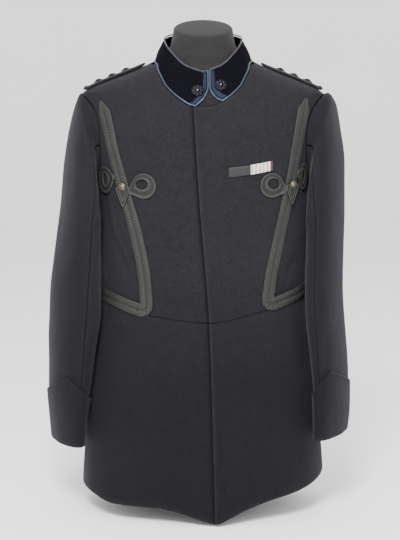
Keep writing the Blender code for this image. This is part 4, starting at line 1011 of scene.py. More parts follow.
def make_piping(word, side):
    """Piping round a collar half: lower edge, front edge and top edge."""
    off = PIPING_RADIUS + PIPING_GAP
    inset = MEETING_GAP + PIPING_RADIUS
    stop = side * (180 - COLLAR_BACK_GAP)
    foot = float(collar_front_angle(side, 0.0, inset + off))
    head = float(collar_front_angle(side, COLLAR_FRONT_HEIGHT, inset + off))
    across = np.linspace(0, 1, 80) ** 1.3
    below = (foot + across * (stop - foot))[::-1]
    lower = collar_point(below, np.full(below.shape, -off))
    shares = np.linspace(0, 1, 28)
    rises = np.concatenate([[-0.75 * off], shares * COLLAR_FRONT_HEIGHT])
    insets = np.concatenate([[inset + 0.25 * off], np.full(len(shares), inset)])
    edge = collar_point(collar_front_angle(side, rises, insets), rises)
    corner_angle = collar_front_angle(side, COLLAR_FRONT_HEIGHT, inset + 0.25 * off)
    corner = collar_share_point(corner_angle, 1.0, 0.8 * off)
    above = head + across * (stop - head)
    upper = collar_share_point(above, np.ones(above.shape), off)
    points = np.concatenate([lower, edge, [corner], upper])
    reach = np.cumsum(np.linalg.norm(np.diff(points, axis=0), axis=-1))
    turn = reach[len(lower) + len(edge) - 1] / reach[-1]
    path = refine(points, PIPING_STEPS)
    rings = tube_points(path, PIPING_RADIUS, PIPING_SIDES)
    mesh = loft_mesh("cord_piping_" + word, rings)
    # Painted shade: the piping darkens as it runs back from the collar's front.
    painted_front_light = 0.15 + 0.85 * smooth_step((PIPING_SHADE_Y - path[:, 1]) / 0.030)
    upper_part = smooth_step((np.linspace(0, 1, PIPING_STEPS) - turn) / 0.02)
    set_values(mesh, "painted_front_light", np.repeat(painted_front_light, PIPING_SIDES))
    set_values(mesh, "faded", np.repeat(upper_part, PIPING_SIDES))
    return add_piece("cord_piping_" + word, mesh, piping, ["collar_piping_" + word])


# Height of a two-row braid across its half, from its middle to its edge
BRAID_ACROSS = np.array((0.0, 0.06, 0.13, 0.22, 0.32, 0.42, 0.52, 0.62, 0.72, 0.81, 0.89, 0.95, 0.99, 1.0))
BRAID_CROWN = np.array((0.50, 0.60, 0.76, 0.88, 0.95, 0.99, 1.0, 1.0, 0.98, 0.93, 0.84, 0.70, 0.45, 0.08))


def braid_mesh(name, middle, half_widths, height, out):
    """A two-row plaited braid that lies on the cloth along a line of points."""
    along = unit(np.gradient(middle, axis=0))
    normal, across = frame_on_cloth(middle, along)
    reach = np.concatenate([-BRAID_ACROSS[:0:-1], BRAID_ACROSS])
    crown = np.concatenate([BRAID_CROWN[:0:-1], BRAID_CROWN])
    steps = np.linalg.norm(np.diff(middle, axis=0), axis=-1)
    distance = np.concatenate([[0], np.cumsum(steps)])
    slant = 1.25 * abs(2 * abs(reach) - 1)
    ripple = np.cos(2 * np.pi * (distance[:, None] / BRAID_PITCH - slant[None, :]))
    inside = smooth_step((1 - abs(reach)) / 0.12) * smooth_step(abs(reach) / 0.10)
    rise = crown[None, :] * 0.90 + 0.20 * ripple * inside[None, :]
    rise = np.clip(rise, 0.02, 1.12)
    spread = reach[None, :, None] * half_widths[:, None, None] * across[:, None]
    feet = on_cloth(middle[:, None] + spread, out)
    top = feet + normal[:, None] * (rise * height)[..., None]
    under_reach = reach[::-1][::3]
    under_spread = under_reach[None, :, None] * (half_widths * 0.985)[:, None, None] * across[:, None]
    bottom = on_cloth(middle[:, None] + under_spread, out)
    rings = np.concatenate([top, bottom], axis=1)
    mesh = loft_mesh(name, rings)
    # The low value marks hollows that the braid's material paints darker as shade.
    low = np.clip(0.9 - crown[None, :], 0, 1) + 0.36 * (1 - ripple) * inside[None, :]
    values = np.concatenate([low, np.ones(bottom.shape[:2])], axis=1)
    set_values(mesh, "low", values)
    return mesh


def braid_corner(side):
    """The braid's middle down the chest and round the corner at the waist, and the angle where it stops."""
    rows, waist = (LEFT_CHEST_BRAID, LEFT_WAIST_BRAID) if side > 0 else (RIGHT_CHEST_BRAID, RIGHT_WAIST_BRAID)
    x_at, z_at = curve_through(rows[::-1], 1, 0), curve_through(waist, 0, 1)
    angles = np.linspace(waist[0][0], 75, 400)
    round_waist = cloth_point(angles * side, z_at(angles))
    corner = np.array([rows[-1][0] - 0.0006, waist[0][1] + 0.0005])
    stop = int(np.argmax(abs(round_waist[:, 0]) > corner[0] + CORNER_REACH))
    z = np.linspace(rows[0][1], corner[1] + CORNER_REACH, 440)
    start, finish = np.array([x_at(z[-1]), z[-1]]), abs(round_waist[stop, [0, 2]])
    share = np.linspace(0, 1, 50)[1:, None]
    bend = start * (1 - share) ** 2 + 2 * corner * share * (1 - share) + finish * share ** 2
    return np.concatenate([x_at(z), bend[:, 0]]) * side, np.concatenate([z, bend[:, 1]]), angles[stop]


def make_chest_braid(word, side):
    """The two-row braid from the shoulder round the corner at the waist."""
    x, z, _ = braid_corner(side)
    middle = cloth_point(front_angle(x, z), z)
    widths = BRAID_WIDE * (0.22 + 0.78 * np.clip((z[0] - z) / 0.020, 0, 1))
    mesh = braid_mesh("braid_chest_" + word, middle, widths, BRAID_HEIGHT, BRAID_GAP)
    return add_piece("braid_chest_" + word, mesh, braid, ["chest_braid_" + word])


def make_waist_braid(word, side):
    """The two-row braid from the corner round the waist to the side back."""
    rows = LEFT_WAIST_BRAID if side > 0 else RIGHT_WAIST_BRAID
    z_at = curve_through(rows, 0, 1)
    angle = np.linspace(braid_corner(side)[2] + 0.1, rows[-1][0], 320)
    middle = cloth_point(angle * side, z_at(angle))
    widths = np.full(len(angle), BRAID_WIDE)
    mesh = braid_mesh("braid_waist_" + word, middle, widths, BRAID_HEIGHT, WAIST_BRAID_GAP)
    return add_piece("braid_waist_" + word, mesh, braid, ["waist_braid_" + word])


# Hollow of each loop, seen from the front: its middle from the loop's middle, and half its sizes;
# then how far the loop's own outline reaches towards the button, and its bearing there in degrees
# Columns: across, up, half_across, half_up, reach, bearing
HOLLOWS = {
    "inner_loop_right": (-0.0035, 0.0030, 0.0105, 0.0085, 0.0105, 200),
    "outer_loop_right": (0.0020, 0.0010, 0.0060, 0.0105, 0.0075, 12),
    "inner_loop_left": (0.0030, 0.0030, 0.0105, 0.0090, 0.0105, -20),
    "outer_loop_left": (-0.0010, 0.0010, 0.0040, 0.0120, 0.0075, 168),
}


def make_loop(name, side, x, z):
    """A loop of braid, wider away from the button, that lies on the cloth."""
    half_across, half_up = next(row[4:6] for row in LOOPS if row[0] == name)
    shift_across, shift_up, hollow_across, hollow_up, towards, button_bearing = HOLLOWS[name]
    x = side * x
    centre = cloth_point(front_angle(x, z), z)
    normal, across, upward = seat_at(centre)
    bearing = np.linspace(0, 2 * np.pi, LOOP_STEPS, endpoint=False)
    reach = np.linspace(0, 1, LOOP_ACROSS)
    profile = np.interp(reach, (0, 0.03, 0.09, 0.20, 0.30, 0.50, 0.70, 0.80, 0.91, 0.97, 1),
                        (0.1, 0.62, 0.98, 0.92, 0.66, 0.60, 0.66, 0.92, 1.0, 0.62, 0.1))
    circle = np.stack([np.cos(bearing), np.sin(bearing)], axis=-1)
    outer = circle * [half_across, half_up]
    turned = (bearing - math.radians(button_bearing) + np.pi) % (2 * np.pi) - np.pi
    point = towards * np.exp(-(turned / 0.42) ** 2)
    outer += point[:, None] * [math.cos(math.radians(button_bearing)), math.sin(math.radians(button_bearing))]
    inner = [shift_across, shift_up] + circle * [hollow_across, hollow_up]
    spot = inner[:, None] + (outer - inner)[:, None] * reach[None, :, None]
    ripple = np.cos(60 * bearing[:, None] + 7 * abs(reach - 0.5)[None, :])
    flat = smooth_step((0.5 - abs(reach - 0.5)) / 0.1)[None, :]
    rise = np.clip(profile[None, :] + 0.10 * ripple * flat, 0.03, 1.1)
    feet = on_cloth(centre + spot[..., :1] * across + spot[..., 1:] * upward, BRAID_GAP)
    rows = LEFT_CHEST_BRAID if side > 0 else RIGHT_CHEST_BRAID
    from_braid = abs(feet[..., 0] - side * curve_through(rows[::-1], 1, 0)(feet[..., 2]))
    climb = smooth_step((BRAID_HALF_WIDTH + 0.0022 - from_braid) / 0.0022)
    feet = feet + normal * ((BRAID_HEIGHT + 0.0003) * climb)[..., None]
    top = feet + normal * (rise * (LOOP_HEIGHT - 0.0006 * climb))[..., None]
    rings = np.concatenate([top, feet[:, ::-3]], axis=1)
    mesh = loft_mesh("braid_" + name, rings, closed=True)
    # The low value marks hollows that the braid's material paints darker as shade.
    low = np.concatenate([1.1 - rise, np.ones((len(bearing), rings.shape[1] - LOOP_ACROSS))], axis=1)
    set_values(mesh, "low", low)
    return add_piece("braid_" + name, mesh, braid, [name])


def outline_mesh(name, centre, outline, levels, out, lapped=False):
    """A raised flat piece with a given outline; levels are (share of the outline, height)."""
    normal, across, upward = seat_at(centre)
    outline = np.asarray(outline, float)
    middle = outline.mean(axis=0)
    rings = []
    for share, height in levels:
        spot = middle + (outline - middle) * share
        foot = on_cloth(centre + spot[:, :1] * across + spot[:, 1:] * upward, out, lapped)
        rings.append(foot + normal * height)
    return loft_mesh(name, rings)


def dense_outline(corners, steps, rounding=0.0):
    """Points along a closed outline, its corners rounded a little."""
    corners = np.asarray(corners, float)
    points = []
    for first, second in zip(corners, np.roll(corners, -1, axis=0)):
        for step in range(steps):
            points.append(first + (second - first) * step / steps)
    points = np.array(points)
    for _ in range(int(rounding)):
        points = (np.roll(points, 1, axis=0) + 2 * points + np.roll(points, -1, axis=0)) / 4
    return points


def make_tab(word, x, z):
    """The pointed tab under the button, over the braid, with a raised rim."""
    centre = cloth_point(front_angle(x, z), z)
    corners = ((-0.92, 1.05), (0.92, 1.05), (1.15, 0.86), (0.95, 0.40), (0.14, -1.0), (-0.14, -1.0),
               (-0.95, 0.40), (-1.15, 0.86))
    scaled = [(right * TAB_HALF_WIDTH, up * TAB_HALF_HEIGHT) for right, up in corners]
    outline = dense_outline(scaled, 12, 3)
    shares = ((0.97, 0.0), (1.0, 0.35), (0.98, 0.95), (0.93, 1.15), (0.86, 1.1), (0.80, 0.80), (0.62, 0.74),
              (0.54, 0.95), (0.46, 0.95), (0.38, 0.74), (0.15, 0.72), (0.02, 0.72))
    levels = [(share, TAB_HEIGHT * up) for share, up in shares]
    mesh = outline_mesh("braid_tab_" + word, centre, outline, levels, BRAID_GAP + BRAID_HEIGHT + TAB_GAP)
    # The low value marks hollows that the braid's material paints darker as shade.
    low = np.repeat([1.0, 0.6, 0.2, 0.0, 0.1, 0.5, 0.5, 0.1, 0.1, 0.5, 0.4, 0.4], len(outline))
    set_values(mesh, "low", low)
    return add_piece("braid_tab_" + word, mesh, braid, ["pointed_tab_" + word])


def make_button(word, x, z):
    """A small domed button with a plain rim on the tab."""
    angle = front_angle(x, z)
    normal = body_normal(angle, z)
    seat = BRAID_GAP + BRAID_HEIGHT + TAB_GAP + TAB_HEIGHT * 0.74 + 0.0005
    centre = cloth_point(angle, z, seat, bridging=True)
    radius, height = BUTTON_RADIUS, BUTTON_HEIGHT
    shares = ((0.80, 0.0), (0.96, 0.08), (1.0, 0.22), (0.985, 0.34), (0.93, 0.42), (0.87, 0.40), (0.83, 0.36),
              (0.80, 0.42), (0.70, 0.62), (0.56, 0.80), (0.40, 0.92), (0.22, 0.985), (0.08, 1.0), (0.01, 1.0))
    _, spokes = spokes_round(BUTTON_STEPS, *facing(normal))
    rings = [centre + spokes * (radius * across) + normal * (height * up) for across, up in shares]
    mesh = loft_mesh("gilt_button_" + word, rings)
    return add_piece("gilt_button_" + word, mesh, gilt, ["braid_button_" + word])


def make_ribbon(node, x0, z0, x1, z1, material, slot):
    """A ribbon sewn flat on the chest, its edges rounded."""
    middle_x, middle_z = (x0 + x1) / 2, (z0 + z1) / 2
    centre = cloth_point(front_angle(middle_x, middle_z), middle_z)
    normal, across, upward = seat_at(centre)
    half = math.hypot(x1 - x0, z1 - z0) / 2
    slope = (z1 - z0) / (x1 - x0)
    u = 2 * edged(60, 2 * half) - 1
    v = 2 * edged(22, RIBBON_HEIGHT) - 1
    reach = np.broadcast_to(u[None, :] * half, (len(v), len(u)))
    rise = reach * slope + v[:, None] * RIBBON_HEIGHT / 2
    spot = centre + reach[..., None] * across + rise[..., None] * upward
    full = edge_fullness(len(v), len(u))
    foot = on_cloth(spot, BRAID_GAP, lapped=True)
    buckle = 0.00018 * np.sin(reach * 900) * smooth_step((1 - abs(v[:, None])) / 0.4)
    middle = foot + normal * (RIBBON_DEPTH / 2 + buckle)[..., None]
    thickness = normal * (RIBBON_DEPTH / 2 * full)[..., None]
    name = "silk_" + node
    mesh = wall_mesh(name, middle + thickness, middle - thickness)
    set_values(mesh, "across", np.stack([np.broadcast_to((u + 1) / 2, reach.shape)] * 2))
    item = add_piece(name, mesh, material, [node])
    return item


def make_strap(word, side):
    """A shoulder strap that lies along the shoulder's ridge, its edges rounded."""
    rings = []
    stations = STRAP_IN_X + edged(52, STRAP_OUT_X - STRAP_IN_X) * (STRAP_OUT_X - STRAP_IN_X)
    ends = fullness(len(stations))
    for x, end in zip(stations, ends):
        half = strap_half_width(x)
        share = 2 * edged(18, 2 * half) - 1
        full = np.minimum(fullness(len(share)), end)
        edge = min(x, STRAP_REST_X)
        heights = np.array([shoulder_top(edge, TORSO_Y + reach) for reach in share * half]) + STRAP_LIFT
        swell = 0.0004 * (1 - share ** 2)
        middle = heights + STRAP_THICKNESS / 2
        y = TORSO_Y + share * half
        low = np.stack([np.full(len(y), side * x), y, middle - STRAP_THICKNESS / 2 * full], axis=-1)
        high = np.stack([np.full(len(y), side * x), y, middle + STRAP_THICKNESS / 2 * full + swell], axis=-1)
        rings.append(np.concatenate([low, high[::-1]]))
    mesh = loft_mesh("cloth_strap_" + word, rings)
    return add_piece("cloth_strap_" + word, mesh, strap_cloth, ["shoulder_strap_" + word])


def make_pip(word, side, number, x):
    """A plain raised pip, square on its corner, with a low boss in its middle."""
    lift = STRAP_LIFT + STRAP_THICKNESS + LAY_GAP + 0.0004
    slope = (shoulder_top(x - 0.008, TORSO_Y) - shoulder_top(x + 0.008, TORSO_Y)) / 0.016
    normal = unit(np.array([slope * side, 0.0, 1.0]))
    centre = np.array([side * x, TORSO_Y, shoulder_top(x, TORSO_Y) + lift])
    along = unit(np.cross([0, 1.0, 0], normal))
    bearing, spokes = spokes_round(PIP_STEPS, along, np.array([0, 1.0, 0]))
    reach = (1 / (abs(np.cos(bearing)) + abs(np.sin(bearing)))) ** 1.25
    rays = 1 + 0.05 * np.cos(16 * bearing)
    levels = ((0.96, 0.0, 0), (1.0, 0.12, 1), (0.98, 0.22, 1), (0.72, 0.42, 1), (0.50, 0.62, 1),
              (0.44, 0.66, 0), (0.42, 0.78, 0), (0.34, 0.84, 0), (0.30, 0.80, 0), (0.20, 0.86, 0),
              (0.10, 1.0, 0), (0.01, 1.0, 0))
    rings = []
    for share, height, rayed in levels:
        shape = reach if share > 0.46 else np.ones(PIP_STEPS)
        size = PIP_RADIUS * share * shape * (rays if rayed else 1)
        rings.append(centre + spokes * size[:, None] + normal * PIP_HEIGHT * height)
    name = f"bronze_pip_{word}_{number}"
    return add_piece(name, loft_mesh(name, rings), bronze, [f"strap_pip_{word}_{number}"])


def make_rosette(word, side):
    """A plain petalled boss on the collar's front."""
    x = COLLAR_MEETING_X + side * ROSETTE_DISTANCE
    angle = math.degrees(math.asin(x / 0.078)) + side * 4.0
    centre = collar_point(angle, ROSETTE_RISE)
    around = collar_point(angle + 1, ROSETTE_RISE) - collar_point(angle - 1, ROSETTE_RISE)
    upward = collar_point(angle, ROSETTE_RISE + 0.002) - collar_point(angle, ROSETTE_RISE - 0.002)
    normal = unit(np.cross(around, upward))
    radius, height = ROSETTE_RADIUS, ROSETTE_HEIGHT
    bearing, spokes = spokes_round(ROSETTE_STEPS, *facing(normal))
    petals = abs(np.cos(4 * bearing)) ** 0.6
    levels = ((0.90, 0.00, 0.10, 0.0), (1.00, 0.18, 0.14, 0.1), (0.97, 0.34, 0.14, 0.25),
              (0.84, 0.60, 0.10, 0.35), (0.66, 0.70, 0.05, 0.35), (0.48, 0.56, 0.02, 0.25),
              (0.34, 0.40, 0, 0), (0.30, 0.60, 0, 0), (0.25, 0.86, 0, 0), (0.15, 1.0, 0, 0),
              (0.05, 1.06, 0, 0), (0.005, 1.06, 0, 0))
    rings, painted_glint = [], []
    for share, rise, lobes, dip in levels:
        size = radius * share * (1 - lobes + lobes * petals)
        level = height * (rise - dip * (1 - petals) * 0.8)
        rings.append(centre + normal * 0.0004 + spokes * size[:, None] + normal * level[:, None])
        # The centre is painted pale as a highlight on its dome.
        painted_glint.append(np.full(ROSETTE_STEPS, 1.0 if share < 0.14 else 0.0))
    name = "bronze_rosette_" + word
    mesh = loft_mesh(name, rings)
    set_values(mesh, "painted_glint", np.array(painted_glint))
    return add_piece(name, mesh, bronze, ["collar_rosette_" + word])


def make_form():
    """The dress form's padded torso and neck, closed below the hip and at the neck's slanted top."""
    inset_at = curve_through(FORM_INSET, 0, 1)
    angles = np.linspace(0, 360, FORM_STEPS, endpoint=False)
    heights = np.concatenate([[0.155, 0.1555, 0.157, 0.160, 0.165], np.linspace(0.175, 0.797, 90)])
    rounding = curve_through(((0.155, 0.82), (0.1555, 0.86), (0.157, 0.895), (0.160, 0.93), (0.165, 0.962),
                              (0.185, 1.0), (0.9, 1.0)), 0, 1)
    rings = []
    for z in heights:
        surface = plain_body(angles, z) - body_normal(angles, z) * inset_at(z)
        axis = np.array([0.0, TORSO_Y, z])
        ring = axis + (surface - axis) * rounding(z)
        if z < 0.70:
            ring[:, 2] = z
        rings.append(ring)
    shape = [curve_through(FORM_NECK, 0, column) for column in (1, 2, 3)]
    sine, cosine = np.sin(np.radians(angles)), np.cos(np.radians(angles))
    for z in np.linspace(0.8045, 0.853, 18):
        half_width, front, back = (curve(z) for curve in shape)
        y = TORSO_Y - np.where(cosine > 0, front, back) * cosine
        tilt = NECK_TILT * max(0.0, (z - 0.816) / 0.037)
        rings.append(np.stack([half_width * sine, y, z + tilt * (y - TORSO_Y)], axis=-1))
    top = rings[-1]
    middle = top.mean(axis=0)
    for share, rise in ((0.985, 0.30), (0.96, 0.55), (0.92, 0.72), (0.80, 0.86), (0.55, 1.0), (0.25, 1.0),
                        (0.02, 1.0)):
        rings.append(middle + (top - middle) * share + [0, 0, NECK_CAP_RISE * rise])
    mesh = loft_mesh("form_torso", rings)
    on_cap = [0.0] * (len(rings) - 7) + [0.3, 0.5, 0.7, 0.8, 0.8, 0.8, 0.8]
    set_values(mesh, "shade", np.repeat(on_cap, FORM_STEPS))
    item = add_piece("form_torso", mesh, form_cover, ["form_body"])
    return item


def stitch_mesh(name, lines, length=0.0021, step=0.0032, width=0.00048, height=0.00026):
    """Short raised stitches along lines of points with their outward normals."""
    points, faces = [], []
    for path, normal in lines:
        path, normal = np.asarray(path), np.asarray(normal)
        reach = np.concatenate([[0], np.cumsum(np.linalg.norm(np.diff(path, axis=0), axis=-1))])
        count = int(reach[-1] / step)
        for number in range(count):
            ends = (number + 0.1) * step + np.array([0.0, 0.25, 0.75, 1.0]) * length
            spots = np.stack([np.interp(ends, reach, path[:, axis]) for axis in range(3)], axis=-1)
            up = unit(np.stack([np.interp(ends[1], reach, normal[:, axis]) for axis in range(3)], axis=-1))
            across = unit(np.cross(up, spots[3] - spots[0]))
            first = len(points)
            for spot, size in zip(spots, (0.35, 1.0, 1.0, 0.35)):
                points += [spot - across * width * size / 2 - up * 0.0001,
                           spot - across * width * size * 0.3 + up * height * size,
                           spot + across * width * size * 0.3 + up * height * size,
                           spot + across * width * size / 2 - up * 0.0001]
            for station in range(3):
                for corner in range(4):
                    beside = (corner + 1) % 4
                    here, there = first + station * 4, first + station * 4 + 4
                    faces.append((here + corner, here + beside, there + beside, there + corner))
            faces += [tuple(range(first, first + 4)), tuple(range(first + 12, first + 16))]
    return mesh_from(name, points, faces)


def cloth_line(x, z, out=0.0002, lapped=True):
    """A line of points on the front, and its normals, by x and height."""
    x, z = np.asarray(x, float), np.asarray(z, float)
    angle = front_angle(x, z)
    base = plain_body(angle, z)
    lift = lap_lift(base) if lapped else 0.0
    return cloth_point(angle, z, out + lift), body_normal(angle, z)


def make_fly_stitches():
    """Stitching of the fly, straight above the waist and curving to the edge below it."""
    z = np.linspace(0.700, 0.3545, 160)
    lines = [cloth_line(front_edge_at(z) + FLY_WIDTH, z)]
    knots = refine([(x, 0.0, z) for x, z in SKIRT_FLY], 60)
    z_low = np.linspace(SKIRT_FLY[-1][1], 0.016, 120)
    x_low = front_edge_at(z_low) + SKIRT_FLY_WIDTH
    blend = smooth_step((SKIRT_FLY[-1][1] - z_low) / 0.03)
    x_low = SKIRT_FLY[-1][0] * (1 - blend) + x_low * blend
    x_all, z_all = np.concatenate([knots[:, 0], x_low[1:]]), np.concatenate([knots[:, 2], z_low[1:]])
    lines.append(cloth_line(x_all, z_all))
    z_edge = np.linspace(0.712, 0.690, 12)
    for step in (0.004, 0.008):
        lines.append(cloth_line(front_edge_at(z_edge) + step, z_edge))
    item = add_piece("thread_fly", stitch_mesh("thread_fly", lines), thread)
    return item


def make_cuff_stitches(word, side):
    turns = np.linspace(-90, 270, 260)
    lines = []
    for inward in (0.05, 0.085):
        points, normal = fine_sleeve(side, turns, cuff_top(turns) + inward, CUFF_GAP + CLOTH + 0.0001)
        lines.append((points, normal))
    name = "thread_cuff_" + word
    return add_piece(name, stitch_mesh(name, lines), thread)


def make_strap_stitches(word, side):
    lines = []
    for way in (-1, 1):
        path = []
        for x in np.linspace(STRAP_IN_X + 0.006, STRAP_OUT_X - 0.004, 60):
            reach = way * (strap_half_width(x) - 0.0035)
            z = shoulder_top(min(x, STRAP_REST_X), TORSO_Y + reach) + STRAP_LIFT + STRAP_THICKNESS + 0.0002
            path.append((side * x, TORSO_Y + reach, z))
        lines.append((path, np.tile([0.0, 0.0, 1.0], (len(path), 1))))
    name = "thread_strap_" + word
    return add_piece(name, stitch_mesh(name, lines), thread)


def start_material(name, roughness, metallic=0.0, sheen=0.0, sheen_roughness=0.5, sheen_tint=(1, 1, 1),
                   specular=0.5):
    """A material with its uniform numbers on the shader's own sockets, and its object coordinates."""
    material = bpy.data.materials.new(name)
    material.use_nodes = True
    tree = material.node_tree
    shader = tree.nodes["Principled BSDF"]
    shader.inputs["Roughness"].default_value = roughness
    shader.inputs["Metallic"].default_value = metallic
    shader.inputs["Sheen Weight"].default_value = sheen
    shader.inputs["Sheen Roughness"].default_value = sheen_roughness
    shader.inputs["Sheen Tint"].default_value = (*sheen_tint, 1)
    shader.inputs["Specular IOR Level"].default_value = specular
    coordinates = tree.nodes.new("ShaderNodeTexCoord").outputs["Object"]
    return material, tree, shader, coordinates


def noise(tree, coordinates, scale, detail=3.0, roughness=0.55, stretch=None):
    """Noise between about 0 and 1, stretched along an axis if asked."""
    if stretch is not None:
        mapping = tree.nodes.new("ShaderNodeMapping")
        mapping.inputs["Scale"].default_value = stretch
        tree.links.new(coordinates, mapping.inputs["Vector"])
        coordinates = mapping.outputs["Vector"]
    made = tree.nodes.new("ShaderNodeTexNoise")
    made.inputs["Scale"].default_value = scale
    made.inputs["Detail"].default_value = detail
    made.inputs["Roughness"].default_value = roughness
    tree.links.new(coordinates, made.inputs["Vector"])
    return made.outputs["Fac"]


def waves(tree, coordinates, scale, direction="DIAGONAL", distortion=0.0, detail_scale=1.0):
    made = tree.nodes.new("ShaderNodeTexWave")
    made.bands_direction = direction
    made.inputs["Scale"].default_value = scale
    made.inputs["Distortion"].default_value = distortion
    made.inputs["Detail Scale"].default_value = detail_scale
    tree.links.new(coordinates, made.inputs["Vector"])
    return made.outputs["Fac"]


def value_of(tree, name):
    made = tree.nodes.new("ShaderNodeAttribute")
    made.attribute_name = name
    return made.outputs["Fac"]


def math_node(tree, operation, first, second):
    made = tree.nodes.new("ShaderNodeMath")
    made.operation = operation
    for socket, value in zip(made.inputs, (first, second)):
        if isinstance(value, (int, float)):
            socket.default_value = value
        else:
            tree.links.new(value, socket)
    return made.outputs[0]


def spread(tree, value, low, high, to_low=0.0, to_high=1.0):
    """A value's range mapped to another, and held inside it."""
    made = tree.nodes.new("ShaderNodeMapRange")
    for socket, number in zip(made.inputs[1:5], (low, high, to_low, to_high)):
        socket.default_value = number
    tree.links.new(value, made.inputs[0])
    return made.outputs[0]


def ramp(tree, value, *stops):
    """Colour by a value, through stops of (place, red, green, blue)."""
    made = tree.nodes.new("ShaderNodeValToRGB")
    elements = made.color_ramp.elements
    while len(elements) < len(stops):
        elements.new(0.5)
    for element, (place, *colour) in zip(elements, stops):
        element.position = place
        element.color = (*colour, 1)
    tree.links.new(value, made.inputs["Fac"])
    return made.outputs["Color"]


def mix(tree, share, first, second, mode="MIX"):
    """One colour mixed over another by a share."""
    made = tree.nodes.new("ShaderNodeMix")
    made.data_type = "RGBA"
    made.blend_type = mode
    for socket, value in ((made.inputs["Factor"], share), (made.inputs[6], first), (made.inputs[7], second)):
        if isinstance(value, (int, float)):
            socket.default_value = value
        elif isinstance(value, tuple):
            socket.default_value = (*value, 1)
        else:
            tree.links.new(value, socket)
    return made.outputs[2]


def finish_surface(tree, shader, colour, *layers):
    """Colour, and relief from layers of (height value, strength, distance in metres)."""
    tree.links.new(colour, shader.inputs["Base Color"])
    normal = None
    for height, strength, distance in layers:
        made = tree.nodes.new("ShaderNodeBump")
        made.inputs["Strength"].default_value = strength
        made.inputs["Distance"].default_value = distance
        tree.links.new(height, made.inputs["Height"])
        if normal is not None:
            tree.links.new(normal, made.inputs["Normal"])
        normal = made.outputs["Normal"]
    tree.links.new(normal, shader.inputs["Normal"])


def wool_material():
    """Fulled dark blue-black wool: a fine nap over a twill, mottled by wear, with a little lint."""
    material, tree, shader, where = start_material("dark_wool", 0.92, sheen=0.045, sheen_roughness=0.5,
                                                   sheen_tint=(0.85, 0.87, 1.0), specular=0.12)
    broad, cloudy = noise(tree, where, 7, 2), noise(tree, where, 60, 4, 0.65)
    grain = noise(tree, where, 420, 3, 0.7)
    colour = ramp(tree, broad, (0.30, 0.0060, 0.0058, 0.0072), (0.70, 0.0084, 0.0082, 0.0098))
    colour = mix(tree, spread(tree, cloudy, 0.35, 0.68, 0, 0.40), colour, (0.0118, 0.0115, 0.0135))
    colour = mix(tree, spread(tree, grain, 0.42, 0.66, 0, 0.50), colour, (0.0150, 0.0146, 0.0170))
    specks = spread(tree, noise(tree, where, 210, 2), 0.60, 0.40, 0, 0.4)
    colour = mix(tree, specks, colour, (0.0040, 0.0041, 0.0058))
    # Painted shade: the cloth is darker towards the bottom and towards the sides and sleeves.
    place = tree.nodes.new("ShaderNodeSeparateXYZ")
    tree.links.new(where, place.inputs["Vector"])
    low = spread(tree, place.outputs["Z"], 0.44, 0.25, 0.0, 0.50)
    painted_side_shade = spread(tree, math_node(tree, "ABSOLUTE", place.outputs["X"], 0.0), 0.175, 0.215, 0.0, 0.45)
    colour = mix(tree, math_node(tree, "MAXIMUM", low, painted_side_shade), colour, (0.0012, 0.0012, 0.0018))
    shade = math_node(tree, "MULTIPLY", value_of(tree, "shade"), 0.9)
    colour = mix(tree, shade, colour, (0.0006, 0.0006, 0.0008))
    # Lighter where worn at cuffs, hem and edges, and a painted highlight along the lapping front's edge.
    worn = math_node(tree, "MULTIPLY", value_of(tree, "wear_and_highlight"), spread(tree, cloudy, 0.3, 0.6, 0.3, 1.0))
    colour = mix(tree, math_node(tree, "MULTIPLY", worn, 0.55), colour, (0.018, 0.0177, 0.0185))
    # Painted shade along the rounded edges of each piece, at its seams and edges.
    painted_edge_shade = spread(tree, value_of(tree, "edge"), 0.0, 0.6, 0.0, 0.65)
    colour = mix(tree, painted_edge_shade, colour, (0.0016, 0.0016, 0.0022))
    lint = tree.nodes.new("ShaderNodeTexVoronoi")
    lint.inputs["Scale"].default_value = 46
    tree.links.new(where, lint.inputs["Vector"])
    near = spread(tree, lint.outputs["Distance"], 0.050, 0.020)
    chosen = spread(tree, noise(tree, where, 31, 1), 0.66, 0.70)
    colour = mix(tree, math_node(tree, "MULTIPLY", near, chosen), colour, (0.085, 0.080, 0.070))
    twill = waves(tree, where, 520, "DIAGONAL", 1.5, 6)
    finish_surface(tree, shader, colour, (cloudy, 0.35, 0.0006), (grain, 0.50, 0.0005), (twill, 0.22, 0.0002))
    return material


def velvet_material():
    """Navy velvet with a short pile, and the silk facing strip at the collar's front."""
    material, tree, shader, where = start_material("navy_velvet", 0.80, sheen=0.03, sheen_roughness=0.25,
                                                   sheen_tint=(0.20, 0.22, 0.70), specular=0.06)
    patchy, pile = noise(tree, where, 38, 3, 0.6), noise(tree, where, 900, 2, 0.7)
    colour = ramp(tree, patchy, (0.30, 0.0005, 0.0005, 0.0014), (0.62, 0.0007, 0.0007, 0.0022),
                  (0.80, 0.0014, 0.0014, 0.0050))
    colour = mix(tree, spread(tree, pile, 0.4, 0.7, 0, 0.30), colour, (0.0016, 0.0016, 0.0052))
    ribbed = waves(tree, where, 300, "Z", 0.6, 3)
    silk = ramp(tree, ribbed, (0.2, 0.0045, 0.0075, 0.0140), (0.8, 0.0120, 0.0185, 0.0310))
    strip = value_of(tree, "silk")
    colour = mix(tree, strip, colour, silk)
    tree.links.new(spread(tree, strip, 0, 1, 0.82, 0.52), shader.inputs["Roughness"])
    finish_surface(tree, shader, colour, (patchy, 0.35, 0.0008), (pile, 0.35, 0.0003), (ribbed, 0.12, 0.0002))
    return material


